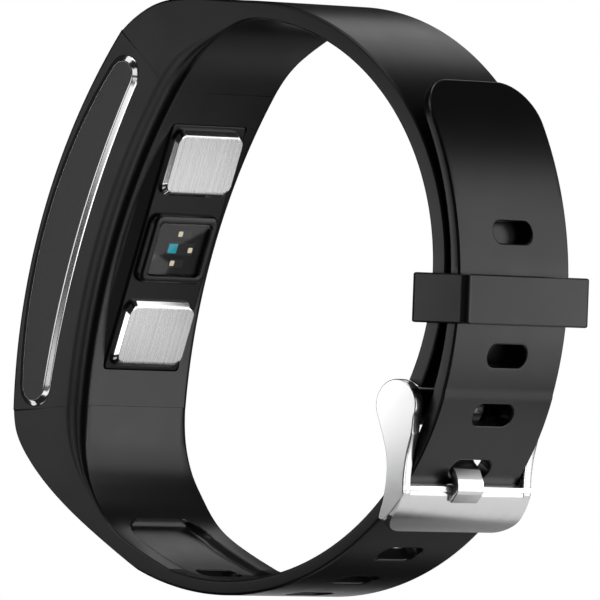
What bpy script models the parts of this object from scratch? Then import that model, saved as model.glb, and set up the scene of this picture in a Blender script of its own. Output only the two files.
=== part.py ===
"""Fitness tracker band, buckled into its closed loop.

The loop's axis is Y, the case module is on the -X side with its display facing -X, and the pin
buckle and the keeper are on the +X side.  Design sizes are in millimetres; everything is moved so
that the middle of the whole band is the origin and scaled to metres when an object is made.
"""
import math

import bmesh
import bpy
from mathutils import Vector

MM = 0.001

# ---- driving dimensions, millimetres ----
CENTRE = (1.205, 0.24)            # middle of the band's box in the design's X and Z
BAND_WIDTH = 18.8
BAND_EDGE = 0.45                 # rounding of the straps' long edges
GAP = 0.3                        # clearance between neighbouring pieces

# case module: a curved bar in its own frame (t along it, n towards the wrist)
CASE_ORIGIN = (-16.36, 5.36)     # middle of the raised pad's face
CASE_TILT = math.radians(18.0)
FRONT_DEPTH = 12.1               # display side below the pad's face, at mid length
FRONT_RADIUS = 70.0
BACK_DEPTH = 1.43                # wrist side below the pad's face, at mid length
BACK_RADIUS = 72.3
SEAM_FRONT_T = 22.2              # half length of the case on the display side
SEAM_BACK_T = 18.2               # and on the wrist side
CASE_EDGE = 1.4
WALL = 1.35
SIDE_WALL = 1.7

PAD_LENGTH = 28.6
PAD_WIDTH = 12.4
PAD_SLOPE = 0.8                  # how far the pad's sides lean out per millimetre of depth
PAD_THICKNESS = 2.6

ELECTRODE_T = 9.95
ELECTRODE_SIZE = (7.6, 11.3)
ELECTRODE_RISE = 0.5
ELECTRODE_CHAMFER = 0.45
SPRING_THICK = 0.22
SENSOR_SIZE = (8.0, 11.1)
SENSOR_GLASS = (6.0, 8.5)
SENSOR_RISE = 0.5

TRIM_MIDDLE = (-0.43, -8.2)
TRIM_HALF_LENGTH = 18.25
TRIM_RADIUS = 75.0
TRIM_END = 2.1
TRIM_BELLY = 0.85
TRIM_CHAMFER = 0.83
TRIM_RISE = 0.47

# straps: arcs of the closed loop
UPPER_CENTRE = (1.2, 3.75)
UPPER_OUTER = 28.8
UPPER_INNER = 26.8
LOWER_CENTRE = (-0.35, -0.25)
LOWER_OUTER = 32.05
LOWER_THICKNESS = 1.65
TAIL_CENTRE = (-7.93, 2.05)
TAIL_OUTER = 39.9
TAIL_JOIN = math.radians(-16.9)
TAIL_END = math.radians(34.6)
TIP_THICKNESS = 1.1
TIP_CORNER = 5.2
SEAM_SHARE = 0.18                # part of a strap's length in which its sections turn square

SLOT_COUNT = 11
SLOT_PITCH = 6.75
SLOT_WIDTH = 6.6
SLOT_HEIGHT = 2.5
FIRST_SLOT = 17.8                # from the tip to the first slot
TROUGH_WIDTH = 13.0
TROUGH_DEPTH = 0.9

PIVOT = (24.95, -10.75)          # spring bar axis
ARM_END = 2.8
ARM_THICKNESS = 1.35
BUCKLE_WIDTH = 21.9
BARREL_RADIUS = 2.1
BARREL_WIDTH = 17.8
NOTCH_WIDTH = 5.6
BAR_BORE = 1.15
TUBE_RADIUS = 0.85
TIP_RADIUS = 0.45
COIL_TURNS = 8
COIL_RADIUS = 0.32
COIL_WIRE = 0.1
COIL_REACH = 4.9
TONGUE_WIDTH = 4.5
TONGUE_THICK = 0.9
TONGUE_Y = -0.5
TONGUE_PATH = [(25.5, -12.3), (25.2, -14.6), (25.3, -16.3), (26.1, -17.45), (26.95, -18.35),
               (27.25, -19.5), (26.95, -20.9), (26.5, -21.7)]

KEEPER_Z = 0.93
KEEPER_WIDTH = 21.4
KEEPER_HEIGHT = 5.4
KEEPER_CORNER = 0.9
KEEPER_X = (26.1, 34.1)
KEEPER_WALL_IN = 1.1
KEEPER_WALL_OUT = 1.8
KEEPER_SIDE = 1.1

PALETTE = {
    "body_plastic": ((0.018, 0.018, 0.019), 0.0, 0.42),
    "strap_rubber": ((0.016, 0.016, 0.017), 0.0, 0.48),
    "bright_chrome": ((0.86, 0.86, 0.87), 1.0, 0.08),
    "spring_steel": ((0.62, 0.62, 0.63), 1.0, 0.3),
    "brushed_steel": ((0.70, 0.69, 0.67), 1.0, 0.3),
    "insert_plastic": ((0.055, 0.055, 0.056), 0.0, 0.6),
    "dark_glass": ((0.006, 0.006, 0.008), 0.0, 0.05),
    "circuit_board": ((0.01, 0.05, 0.03), 0.0, 0.5),
    "package_plastic": ((0.05, 0.05, 0.05), 0.0, 0.5),
    "led_lens": ((0.85, 0.72, 0.42), 0.0, 0.2),
    "diode_die": ((0.02, 0.30, 0.36), 0.0, 0.15),
    "battery_foil": ((0.55, 0.56, 0.58), 1.0, 0.35),
    "gasket_foam": ((0.02, 0.02, 0.02), 0.0, 0.9),
    "flex_film": ((0.55, 0.28, 0.06), 0.0, 0.35),
}


# ---- geometry helpers: 2-D points are (x, z) in the design's millimetres ----
def world(x, y, z):
    return Vector(((x - CENTRE[0]) * MM, y * MM, (z - CENTRE[1]) * MM))


def case_point(t, n):
    """Design X and Z of a point t along the case and n towards the wrist."""
    sine, cosine = math.sin(CASE_TILT), math.cos(CASE_TILT)
    return (CASE_ORIGIN[0] + t * sine + n * cosine, CASE_ORIGIN[1] + t * cosine - n * sine)


def front_n(t, inset=0.0):
    radius = FRONT_RADIUS - inset
    return -FRONT_DEPTH + inset + radius - math.sqrt(radius ** 2 - t ** 2)


def back_n(t, inset=0.0):
    radius = BACK_RADIUS + inset
    return -BACK_DEPTH - inset + radius - math.sqrt(radius ** 2 - t ** 2)


def arc(centre, radius, start, end, count):
    steps = [start + (end - start) * i / count for i in range(count + 1)]
    return [(centre[0] + radius * math.cos(a), centre[1] + radius * math.sin(a)) for a in steps]


def smooth(points, count):
    """A Catmull-Rom curve through the points, with count steps for each span."""
    ends = [tuple(2 * a - b for a, b in zip(points[0], points[1]))]
    last = [tuple(2 * a - b for a, b in zip(points[-1], points[-2]))]
    knots = ends + list(points) + last
    curve = []
    for i in range(1, len(knots) - 2):
        p0, p1, p2, p3 = (Vector(knots[i + k]) for k in (-1, 0, 1, 2))
        for j in range(count):
            u = j / count
            curve.append(tuple(0.5 * (2 * p1 + (p2 - p0) * u + (2 * p0 - 5 * p1 + 4 * p2 - p3) * u ** 2
                                      + (3 * p1 - p0 - 3 * p2 + p3) * u ** 3)))
    return curve + [tuple(points[-1])]


def length_table(points):
    total, table = 0.0, [0.0]
    for a, b in zip(points, points[1:]):
        total += math.hypot(b[0] - a[0], b[1] - a[1])
        table.append(total)
    return table


def resample(points, fractions):
    """Points of a polyline at the given fractions of its length."""
    table = length_table(points)
    result = []
    for fraction in fractions:
        want = fraction * table[-1]
        i = next(k for k in range(1, len(table)) if table[k] >= want - 1e-9)
        u = (want - table[i - 1]) / (table[i] - table[i - 1])
        a, b = points[i - 1], points[i]
        result.append((a[0] + (b[0] - a[0]) * u, a[1] + (b[1] - a[1]) * u))
    return result


def section(half_width, depth, radius, crown=0.0, across=2):
    """Rounded rectangle (y, depth below the outer face), starting on the outer face."""
    points = []
    for i in range(across + 1):
        y = -(half_width - radius) + 2 * (half_width - radius) * i / across
        points.append((y, -crown * (1 - (y / half_width) ** 2)))
    corner = (radius * (1 - math.cos(math.pi / 4)))
    points.append((half_width - corner, corner))
    points.append((half_width, radius))
    points.append((half_width, depth - radius))
    points.append((half_width - corner, depth - corner))
    points.append((half_width - radius, depth))
    points.append((-half_width + radius, depth))
    points.append((-half_width + corner, depth - corner))
    points.append((-half_width, depth - radius))
    points.append((-half_width, radius))
    points.append((-half_width + corner, corner))
    return points


def loft(rings):
    """A closed mesh through rings of equal length, capped at both ends."""
    mesh = bmesh.new()
    rows = [[mesh.verts.new(p) for p in ring] for ring in rings]
    count = len(rings[0])
    for row, following in zip(rows, rows[1:]):
        for i in range(count):
            j = (i + 1) % count
            mesh.faces.new((row[i], row[j], following[j], following[i]))
    mesh.faces.new(list(reversed(rows[0])))
    mesh.faces.new(rows[-1])
    bmesh.ops.recalc_face_normals(mesh, faces=mesh.faces)
    return mesh


def sweep(outer, inner, half_width, radius, crown=0.0, across=2):
    """A band between an outer and an inner outline, with rounded long edges."""
    rings = []
    for (ox, oz), (ix, iz) in zip(outer, inner):
        depth = math.hypot(ix - ox, iz - oz)
        dx, dz = (ix - ox) / depth, (iz - oz) / depth
        edge = min(radius, depth * 0.45)
        rings.append([world(ox + dx * d, y, oz + dz * d)
                      for y, d in section(half_width, depth, edge, crown, across)])
    return loft(rings)


def prism(outline, y0, y1):
    """An outline in X and Z, extruded along Y."""
    return loft([[world(x, y, z) for x, z in outline] for y in (y0, y1)])


def case_prism(corners, y0, y1):
    return prism([case_point(t, n) for t, n in corners], y0, y1)


def case_box(t0, t1, n0, n1, y0, y1):
    return case_prism([(t0, n0), (t1, n0), (t1, n1), (t0, n1)], y0, y1)


def rounded_rect(length, width, radius, steps=3):
    """Rounded rectangle (t, y) about the origin."""
    points = []
    for k, (st, sy) in enumerate(((1, 1), (-1, 1), (-1, -1), (1, -1))):
        for i in range(steps + 1):
            a = math.pi / 2 * (k + i / steps)
            points.append((st * (length / 2 - radius) + radius * math.cos(a),
                           sy * (width / 2 - radius) + radius * math.sin(a)))
    return points


def case_tile(t_middle, layers):
    """A stack of rounded rectangles in the case's frame: (n, length, width, radius) each."""
    rings = []
    for n, length, width, radius in layers:
        ring = []
        for t, y in rounded_rect(length, width, radius):
            x, z = case_point(t_middle + t, n)
            ring.append(world(x, y, z))
        rings.append(ring)
    return loft(rings)


def rod(centre, radius, y0, y1, sides=24):
    return prism(arc(centre, radius, 0.0, 2 * math.pi * (sides - 1) / sides, sides - 1), y0, y1)


# ---- object helpers ----
def material(name):
    found = bpy.data.materials.get(name)
    if found:
        return found
    colour, metallic, roughness = PALETTE[name]
    made = bpy.data.materials.new(name)
    made.use_nodes = True
    shader = made.node_tree.nodes["Principled BSDF"]
    shader.inputs["Base Color"].default_value = (*colour, 1.0)
    shader.inputs["Metallic"].default_value = metallic
    shader.inputs["Roughness"].default_value = roughness
    made.diffuse_color = (*colour, 1.0)
    return made


def add(name, shape, material_name, origin=None, smooth_angle=35.0):
    """Turn a bmesh into an object whose origin is a design point (x, y, z), if one is given."""
    place = world(*origin) if origin else Vector((0.0, 0.0, 0.0))
    bmesh.ops.translate(shape, verts=shape.verts, vec=-place)
    data = bpy.data.meshes.new(name)
    shape.to_mesh(data)
    shape.free()
    data.shade_smooth()
    data.set_sharp_from_angle(angle=math.radians(smooth_angle))
    made = bpy.data.objects.new(name, data)
    made.location = place
    bpy.context.scene.collection.objects.link(made)
    if material_name:
        data.materials.append(material(material_name))
    return made


def boolean(target, shape, operation="DIFFERENCE"):
    cutter = add(f"{target.name}_tool_{len(target.modifiers)}", shape, None)
    cutter.hide_render = True
    cutter.display_type = "WIRE"
    change = target.modifiers.new(operation.title(), "BOOLEAN")
    change.operation = operation
    change.object = cutter


def clear_scene():
    for item in list(bpy.data.objects):
        bpy.data.objects.remove(item)


# ---- outlines of the loop ----
def upper_outlines(count):
    """Buckle strap from the case's upper seam to just before the buckle: outer, inner."""
    stop = math.atan2(PIVOT[1] - UPPER_CENTRE[1], PIVOT[0] - UPPER_CENTRE[0])
    stop += (ARM_END + 0.5) / UPPER_INNER
    seam_front = case_point(SEAM_FRONT_T + 0.15, front_n(SEAM_FRONT_T))
    seam_back = case_point(SEAM_BACK_T + 0.15, back_n(SEAM_BACK_T))
    top = math.radians(88.0)
    outer = smooth([seam_front, (-13.3, 31.9), (-8.4, 32.75), (-2.6, 32.6),
                    arc(UPPER_CENTRE, UPPER_OUTER, top, stop, 1)[0]], 12)
    outer += arc(UPPER_CENTRE, UPPER_OUTER, top, stop, 60)[1:]
    inner = smooth([seam_back, (-7.2, 25.8), (-3.6, 28.5), (-0.6, 30.05),
                    arc(UPPER_CENTRE, UPPER_INNER, top, stop, 1)[0]], 12)
    inner += arc(UPPER_CENTRE, UPPER_INNER, top, stop, 60)[1:]
    return pair_up(outer, inner, count)


def lower_outlines(count):
    """Slot strap from the case's lower seam round to its tip: outer, inner."""
    seam_front = case_point(-SEAM_FRONT_T - 0.15, front_n(SEAM_FRONT_T))
    seam_back = case_point(-SEAM_BACK_T - 0.15, back_n(SEAM_BACK_T))
    start = math.radians(-112.0)
    outer = smooth([seam_front, (-30.2, -16.7), (-26.5, -20.75), (-20.7, -25.0),
                    arc(LOWER_CENTRE, LOWER_OUTER, start, 0.0, 1)[0]], 12)
    outer += arc(LOWER_CENTRE, LOWER_OUTER, start, TAIL_JOIN, 60)[1:]
    outer += arc(TAIL_CENTRE, TAIL_OUTER, TAIL_JOIN, TAIL_END, 40)[1:]
    inner_radius = LOWER_OUTER - LOWER_THICKNESS
    begin = math.radians(-104.0)
    inner = smooth([seam_back, (-20.9, -17.2), (-19.4, -21.3), (-15.6, -25.9),
                    arc(LOWER_CENTRE, inner_radius, begin, 0.0, 1)[0]], 12)
    inner += arc(LOWER_CENTRE, inner_radius, begin, TAIL_JOIN, 60)[1:]
    for i in range(1, 41):
        u = i / 40
        radius = TAIL_OUTER - LOWER_THICKNESS * (1 - u) - TIP_THICKNESS * u
        inner.append(arc(TAIL_CENTRE, radius, TAIL_JOIN + (TAIL_END - TAIL_JOIN) * u, 0.0, 1)[0])
    return pair_up(outer, inner, count)


def pair_up(outer, inner, count):
    """Match evenly spaced outer points with the inner ones nearest across the band.

    Near the oblique seam the inner points are spread evenly instead.
    """
    outer = resample(outer, [i / count for i in range(count + 1)])
    table = length_table(inner)
    first = math.ceil(SEAM_SHARE * count)
    square, reached = [], 0.0
    for point in outer[first:-1]:
        _, reached, nearest = min((math.dist(point, q), s, q) for q, s in zip(inner, table) if s > reached)
        square.append((reached, nearest))
    oblique = square[0][0] / table[-1]
    paired = resample(inner, [oblique * i / first for i in range(first)])
    return outer, paired + [nearest for _, nearest in square] + [inner[-1]]


# ---- case module ----
def case_outline(front_inset, back_inset, steps=14):
    """Closed outline of the case in its own frame, as (t, n); its ends keep to the seam planes."""
    slope = (SEAM_FRONT_T - SEAM_BACK_T) / (back_n(SEAM_BACK_T) - front_n(SEAM_FRONT_T))
    front_t = SEAM_FRONT_T - slope * front_inset
    back_t = SEAM_BACK_T + slope * back_inset
    front = [(-front_t + 2 * front_t * i / steps) for i in range(steps + 1)]
    back = [(back_t - 2 * back_t * i / steps) for i in range(steps + 1)]
    return ([(t, front_n(t, front_inset)) for t in front]
            + [(t, back_n(t, back_inset)) for t in back])


def case_housing():
    half = BAND_WIDTH / 2
    corner = CASE_EDGE * (1 - math.cos(math.pi / 4))
    layers = [(-half, CASE_EDGE), (-half + corner, corner), (-half + CASE_EDGE, 0.0),
              (half - CASE_EDGE, 0.0), (half - corner, corner), (half, CASE_EDGE)]
    rings = []
    for y, inset in layers:
        outline = case_outline(inset * 0.5, inset)
        rings.append([world(x, y, z) for x, z in (case_point(t, n) for t, n in outline)])
    housing = add("case_housing", loft(rings), "body_plastic")
    inside = [(t, back_n(t, WALL)) for t in (15.8, 10.0, 5.0, 0.0, -5.0, -10.0, -15.8)]
    front = [(-15.8, -14.0), (15.8, -14.0)]
    wall = half - SIDE_WALL
    boolean(housing, case_prism(front + inside, -wall, wall))
    boolean(housing, lens_sweep(20.0, 8.65, -1.0, 1.5 + GAP))
    boolean(housing, pad_shape(GAP * 0.7, 4.0))
    for sign in (1, -1):
        boolean(housing, lug_shape(sign, GAP))
        boolean(housing, rod(pin_centre(sign), 0.9, -8.1, 8.1, 16))
    for sign in (-1, 1):
        boolean(housing, trim_prism(GAP * 0.5, sign, half - 0.85, half + 1.0))
    return housing


def lens_sweep(half_length, half_width, front_inset, back_inset, crown=0.0, radius=0.3):
    steps = 16
    ts = [-half_length + 2 * half_length * i / steps for i in range(steps + 1)]
    outer = [case_point(t, front_n(t, front_inset)) for t in ts]
    inner = [case_point(t, front_n(t, back_inset)) for t in ts]
    return sweep(outer, inner, half_width, radius, crown, 6 if crown else 2)


def display_group():
    add("display_lens", lens_sweep(19.6, 8.3, 0.0, 1.1, crown=0.45), "dark_glass")
    gasket = add("lens_gasket", lens_sweep(19.3, 8.2, 1.3, 1.5, radius=0.08), "gasket_foam")
    boolean(gasket, lens_sweep(16.3, 7.4, 0.5, 3.0, radius=0.3))
    add("display_panel", case_box(-11.0, 11.0, -9.6, -8.8, -6.2, 6.2), "dark_glass")
    outline = [(11.3, -9.3), (13.6, -8.9), (15.0, -7.9), (15.0, -7.2), (13.9, -6.7),
               (13.9, -6.5), (15.25, -7.05), (15.25, -8.0), (13.7, -9.1), (11.3, -9.5)]
    add("display_flex", case_prism(outline, -3.0, 3.0), "flex_film")


def pad_shape(grow, thickness):
    """The raised straight pad: its sides lean out below its flat face."""
    layers = []
    for depth in (0.0, 1.6, thickness):
        lean = PAD_SLOPE * min(depth, 1.6)
        layers.append((-depth, PAD_LENGTH + 2 * grow, PAD_WIDTH + 2 * (lean + grow), 0.4 + grow))
    if grow:
        first = layers[0]
        layers.insert(0, (3.0, *first[1:]))
    return case_tile(0.0, layers)


def back_plate():
    plate = add("back_plate", pad_shape(0.0, PAD_THICKNESS), "body_plastic")
    for sign in (1, -1):
        length, width = (size - 2 * 0.9 for size in ELECTRODE_SIZE)
        boolean(plate, case_tile(sign * ELECTRODE_T, [(-4.0, length, width, 0.8), (1.0, length, width, 0.8)]))
    length, width = (size - 2 * 0.8 for size in SENSOR_SIZE)
    boolean(plate, case_tile(0.0, [(-4.0, length, width, 0.6), (1.0, length, width, 0.6)]))


def electrode(name, sign):
    length, width = ELECTRODE_SIZE
    cut = ELECTRODE_CHAMFER
    plug = 2 * (0.9 + GAP)
    layers = [(-1.9, length - plug, width - plug, 0.6), (GAP, length - plug, width - plug, 0.6),
              (GAP + 0.001, length, width, 1.3),
              (ELECTRODE_RISE + GAP, length - 2 * cut, width - 2 * cut, 1.0)]
    add(name, case_tile(sign * ELECTRODE_T, layers), "brushed_steel")


def strip_outline(middle, thickness):
    """Outline of a strip of one thickness whose middle line is given."""
    middle = [Vector(p) for p in middle]
    sides = ([], [])
    for i, p in enumerate(middle):
        along = (middle[min(i + 1, len(middle) - 1)] - middle[max(i - 1, 0)]).normalized()
        for side, sign in zip(sides, (1, -1)):
            side.append(tuple(p + Vector((-along.y, along.x)) * sign * thickness / 2))
    return sides[0] + sides[1][::-1]


def electrode_spring(name, sign):
    """A folded contact strip between the main board and an electrode."""
    t = ELECTRODE_T
    spine = smooth([(t - 1.2, -6.8), (t + 0.6, -6.75), (t + 1.35, -6.1), (t + 0.6, -5.2),
                    (t - 0.6, -4.1), (t - 0.9, -3.2), (t + 0.2, -2.4)], 3)
    outline = strip_outline([(sign * a, b) for a, b in spine], SPRING_THICK)
    add(name, case_prism(outline, -0.9, 0.9), "spring_steel")


def sensor_group():
    length, width = SENSOR_SIZE
    cut = 0.45
    plug = 2 * (0.8 + GAP)
    frame = add("sensor_frame", case_tile(0.0, [
        (-1.9, length - plug, width - plug, 0.4), (GAP, length - plug, width - plug, 0.4),
        (GAP + 0.001, length, width, 1.2),
        (SENSOR_RISE + GAP, length - 2 * cut, width - 2 * cut, 0.9)]), "body_plastic")
    hole = [size - 0.7 for size in SENSOR_GLASS]
    boolean(frame, case_tile(0.0, [(-4.0, *hole, 0.4), (2.0, *hole, 0.4)]))
    seat = [size + 2 * 0.1 for size in SENSOR_GLASS]
    boolean(frame, case_tile(0.0, [(0.1, *seat, 0.5), (2.0, *seat, 0.5)]))
    add("sensor_window", case_tile(0.0, [(0.25, *SENSOR_GLASS, 0.4), (0.75, *SENSOR_GLASS, 0.4)]),
        "dark_glass")
    board = case_box(-2.3, 2.3, -1.6, -1.1, -3.6, 3.6)
    add("sensor_board", board, "circuit_board")
    packages = {"upper": (1.75, 0.0, 0.9, 2.6), "middle": (0.0, 0.0, 1.35, 4.6),
                "lower": (-1.65, 0.0, 0.9, 2.6)}
    for name, (t, y, height, width) in packages.items():
        add(f"optical_package_{name}", case_box(t - height / 2, t + height / 2, -0.9, -0.4,
                                                y - width / 2, y + width / 2), "package_plastic")
    dies = {"led_upper": (1.75, -0.75, 0.55, 0.7, "led_lens"), "led_middle": (0.0, 1.6, 0.6, 0.7, "led_lens"),
            "led_lower": (-1.65, -0.75, 0.55, 0.7, "led_lens"), "photodiode": (0.0, -1.3, 1.0, 1.5, "diode_die")}
    for name, (t, y, height, width, colour) in dies.items():
        add(name, case_box(t - height / 2, t + height / 2, -0.38, -0.2,
                           y - width / 2, y + width / 2), colour)


def electronics():
    add("main_board", case_box(-14.4, 14.4, -8.0, -7.2, -7.0, 7.0), "circuit_board")
    add("processor_chip", case_box(11.9, 14.3, -6.2, -5.2, -3.0, 3.0), "package_plastic")
    add("battery", case_box(-8.0, 8.0, -6.9, -3.6, -6.3, 6.3), "battery_foil")
    centre = case_point(-13.3, -4.9)
    body = add("motor_body", rod(centre, 1.9, -6.5, 2.0), "spring_steel")
    boolean(body, rod(centre, 0.7, -1.0, 3.0, 16))
    x, z = centre
    half_disc = arc(centre, 1.9, math.pi, 2 * math.pi, 14)
    weight = add("motor_weight", prism(half_disc, 2.5, 5.6), "brushed_steel", (x, 0.0, z))
    boolean(weight, rod(centre, 0.75, 2.5 - 0.1, 5.7, 16), "UNION")
    boolean(weight, rod(centre, 0.4, -0.5, 3.0, 12), "UNION")


def trim_outline(grow, steps=18):
    """Outline of the long side trim, (t, n), widest at mid length with round ends."""
    t_mid, n_mid = TRIM_MIDDLE
    half = TRIM_HALF_LENGTH
    sides = []
    for i in range(steps + 1):
        u = -1 + 2 * i / steps
        t = u * half
        n = TRIM_RADIUS - math.sqrt(TRIM_RADIUS ** 2 - t ** 2)
        slope = t / TRIM_RADIUS
        width = TRIM_END + TRIM_BELLY * (1 - u * u) + grow
        sides.append((t_mid + t, n_mid + n, slope, width))
    front = [(t + s * w, n - w) for t, n, s, w in sides]
    back = [(t - s * w, n + w) for t, n, s, w in reversed(sides)]
    ends = []
    for t, n, slope, width in (sides[-1], sides[0]):
        first = -90 if t > 0 else 90
        turn = math.atan(slope)
        ends.append([(t + width * math.cos(math.radians(first + k * 30) + turn),
                      n + width * math.sin(math.radians(first + k * 30) + turn)) for k in range(1, 6)])
    return front + ends[0] + back + ends[1]


def trim_prism(grow, sign, y0, y1):
    return case_prism(trim_outline(grow), sign * y0, sign * y1)


def side_trim(side, sign):
    wall = BAND_WIDTH / 2
    layers = [(0.0, wall - 0.55), (0.0, wall + 0.02), (-TRIM_CHAMFER, wall + TRIM_RISE)]
    rings = [[world(x, sign * y, z) for x, z in (case_point(t, n) for t, n in trim_outline(grow))]
             for grow, y in layers]
    bezel = add(f"side_bezel_{side}", loft(rings), "bright_chrome", smooth_angle=20.0)
    boolean(bezel, trim_prism(-TRIM_CHAMFER - 0.15, sign, wall - 2.0, wall + 2.0))
    plate = trim_prism(-TRIM_CHAMFER - 0.15 - GAP, sign, wall - 0.55, wall + TRIM_RISE - 0.05)
    add(f"side_insert_{side}", plate, "insert_plastic")


# ---- straps ----
def seam_frame(sign):
    """Middle of a seam and the direction into the case, both (t, n)."""
    front = Vector((sign * SEAM_FRONT_T, front_n(SEAM_FRONT_T)))
    back = Vector((sign * SEAM_BACK_T, back_n(SEAM_BACK_T)))
    along = (back - front).normalized()
    inward = Vector((-sign * abs(along.y), -abs(along.x)))
    return (front + back) / 2, along, inward


def lug_shape(sign, grow):
    """The strap's rectangular lug, which fills a pocket in the end of the case."""
    middle, along, inward = seam_frame(sign)
    half = 1.7 + grow
    outer, depth = -0.8, 3.0 + grow
    corners = [middle + along * a + inward * b for a, b in
               ((-half, outer), (half, outer), (half, depth), (-half, depth))]
    return case_prism([tuple(c) for c in corners], -5.5 - grow, 5.5 + grow)


def pin_centre(sign):
    middle, _, inward = seam_frame(sign)
    return case_point(*(middle + inward * 1.6))


def strap_upper():
    outer, inner = upper_outlines(44)
    strap = add("strap_upper", sweep(outer, inner, BAND_WIDTH / 2, BAND_EDGE), "strap_rubber")
    neck = [outer[-3], outer[-1], (PIVOT[0] + 1.0, PIVOT[1]), (PIVOT[0] - 1.0, PIVOT[1]),
            inner[-1], inner[-3]]
    inset = [(x * 0.98 + PIVOT[0] * 0.02, z * 0.98 + PIVOT[1] * 0.02) for x, z in neck]
    boolean(strap, prism(inset, -BARREL_WIDTH / 2, BARREL_WIDTH / 2), "UNION")
    boolean(strap, rod(PIVOT, BARREL_RADIUS, -BARREL_WIDTH / 2, BARREL_WIDTH / 2), "UNION")
    boolean(strap, lug_shape(1, 0.0), "UNION")
    boolean(strap, rod(PIVOT, BAR_BORE, -12.0, 12.0, 20))
    notch_middle = (PIVOT[0] - 0.2, PIVOT[1] - 0.4)
    boolean(strap, rod(notch_middle, 3.2, TONGUE_Y - NOTCH_WIDTH / 2, TONGUE_Y + NOTCH_WIDTH / 2, 20))
    boolean(strap, rod(pin_centre(1), 0.9, -7.0, 7.0, 16))


def path_point(points, distance):
    """Point and unit direction at a distance along a polyline."""
    table = length_table(points)
    here, ahead = resample(points, [distance / table[-1], (distance + 0.2) / table[-1]])
    direction = Vector((ahead[0] - here[0], ahead[1] - here[1])).normalized()
    return Vector(here), direction


def slot_cutter(centre, along, length, width, depth):
    """Round-ended slot through a strap at a point of its outer face."""
    normal = Vector((along.y, -along.x))
    half = (width - length) / 2
    outline = []
    for side, first in ((1, -90), (-1, 90)):
        for k in range(7):
            a = math.radians(first + k * 30)
            outline.append((length / 2 * math.sin(a), side * half + length / 2 * math.cos(a)))
    rings = []
    for d in depth:
        ring = []
        for s, y in outline:
            p = centre + along * s + normal * d
            ring.append(world(p.x, y, p.y))
        rings.append(ring)
    return loft(rings)


def strap_lower():
    outer, inner = lower_outlines(80)
    strap = add("strap_lower", sweep(outer, inner, BAND_WIDTH / 2, BAND_EDGE), "strap_rubber")
    boolean(strap, lug_shape(-1, 0.0), "UNION")
    boolean(strap, rod(pin_centre(-1), 0.9, -7.0, 7.0, 16))
    boolean(strap, trough_shape(inner))
    from_tip = list(reversed(outer))
    for k in range(SLOT_COUNT):
        centre, along = path_point(from_tip, FIRST_SLOT + k * SLOT_PITCH)
        boolean(strap, slot_cutter(centre, along, SLOT_HEIGHT, SLOT_WIDTH, (-2.0, 4.0)))
    for sign in (-1, 1):
        boolean(strap, tip_corner(sign))


def tip_corner(sign):
    """What is cut away to round one corner of the slot strap's tip."""
    tip = Vector(arc(TAIL_CENTRE, TAIL_OUTER, TAIL_END, 0.0, 1)[0])
    along = Vector((math.sin(TAIL_END), -math.cos(TAIL_END)))
    normal = Vector((math.cos(TAIL_END), math.sin(TAIL_END)))
    edge = BAND_WIDTH / 2
    outline = [(-3.0, edge - TIP_CORNER), (0.0, edge - TIP_CORNER)]
    outline += [(TIP_CORNER * (1 - math.cos(a)), edge - TIP_CORNER * (1 - math.sin(a)))
                for a in (math.radians(15 * k) for k in range(1, 6))]
    outline += [(TIP_CORNER, edge), (TIP_CORNER, edge + 2.0), (-3.0, edge + 2.0)]
    rings = []
    for d in (-3.0, 2.0):
        rings.append([world(*design) for design in
                      (((tip + along * s + normal * d).x, sign * y, (tip + along * s + normal * d).y)
                       for s, y in outline)])
    return loft(rings)


def trough_shape(inner):
    """The shallow oval scoop in the wrist side, deepest at its start and fading out."""
    start, full, fade, end = 13.2, 3.5, 30.0, 36.0
    rings = []
    for i in range(15):
        u = i / 14
        s = start + (end - start) * u
        here, along = path_point(inner, s)
        normal = Vector((-along.y, along.x))
        grow = min(1.0, 0.45 + math.sqrt(max(0.0, (s - start) / full)))
        depth = TROUGH_DEPTH * min(1.0, 0.35 + (s - start) / full, 0.25 + (end - s) / (end - fade))
        half = TROUGH_WIDTH / 2 * grow
        ring = []
        for y, d in ((-half, 0.2), (-half * 0.85, -depth * 0.8), (-half * 0.5, -depth),
                     (half * 0.5, -depth), (half * 0.85, -depth * 0.8), (half, 0.2),
                     (half, 1.5), (-half, 1.5)):
            p = here + normal * d
            ring.append(world(p.x, y, p.y))
        rings.append(ring)
    return loft(rings)


def strap_pins():
    for side, sign in (("upper", 1), ("lower", -1)):
        add(f"strap_pin_{side}", rod(pin_centre(sign), 0.6, -7.8, 7.8, 16), "spring_steel")


# ---- buckle ----
def buckle_frame():
    x, z = PIVOT
    half = BUCKLE_WIDTH / 2
    arm = [(x + ARM_END * math.cos(a), z + ARM_END * math.sin(a))
           for a in (math.radians(-25 + 15 * k) for k in range(16))]
    arm += smooth([(23.2, -14.0), (23.85, -16.2), (23.95, -18.7), (23.6, -20.9), (22.9, -23.6)], 3)
    arm += [(23.6, -24.5), (25.0, -22.1)]
    arm += smooth([(26.4, -19.6), (26.45, -18.2), (26.7, -16.2), (27.35, -13.6)], 3)
    frame = add("buckle_frame", prism(arm, -half, -half + ARM_THICKNESS), "bright_chrome",
                (x, 0.0, z), 30.0)
    plate = [(26.4, -19.5), (26.45, -20.0), (23.7, -24.75), (22.75, -24.3), (24.95, -20.3), (25.6, -19.2)]
    boolean(frame, prism(arm, half - ARM_THICKNESS, half), "UNION")
    boolean(frame, prism(plate, -half + 0.2, half - 0.2), "UNION")
    for sign in (-1, 1):
        inner, outer = half - ARM_THICKNESS - 0.5, half - 0.35
        boolean(frame, rod(PIVOT, TIP_RADIUS + 0.2, *sorted((sign * inner, sign * outer)), 16))


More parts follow.
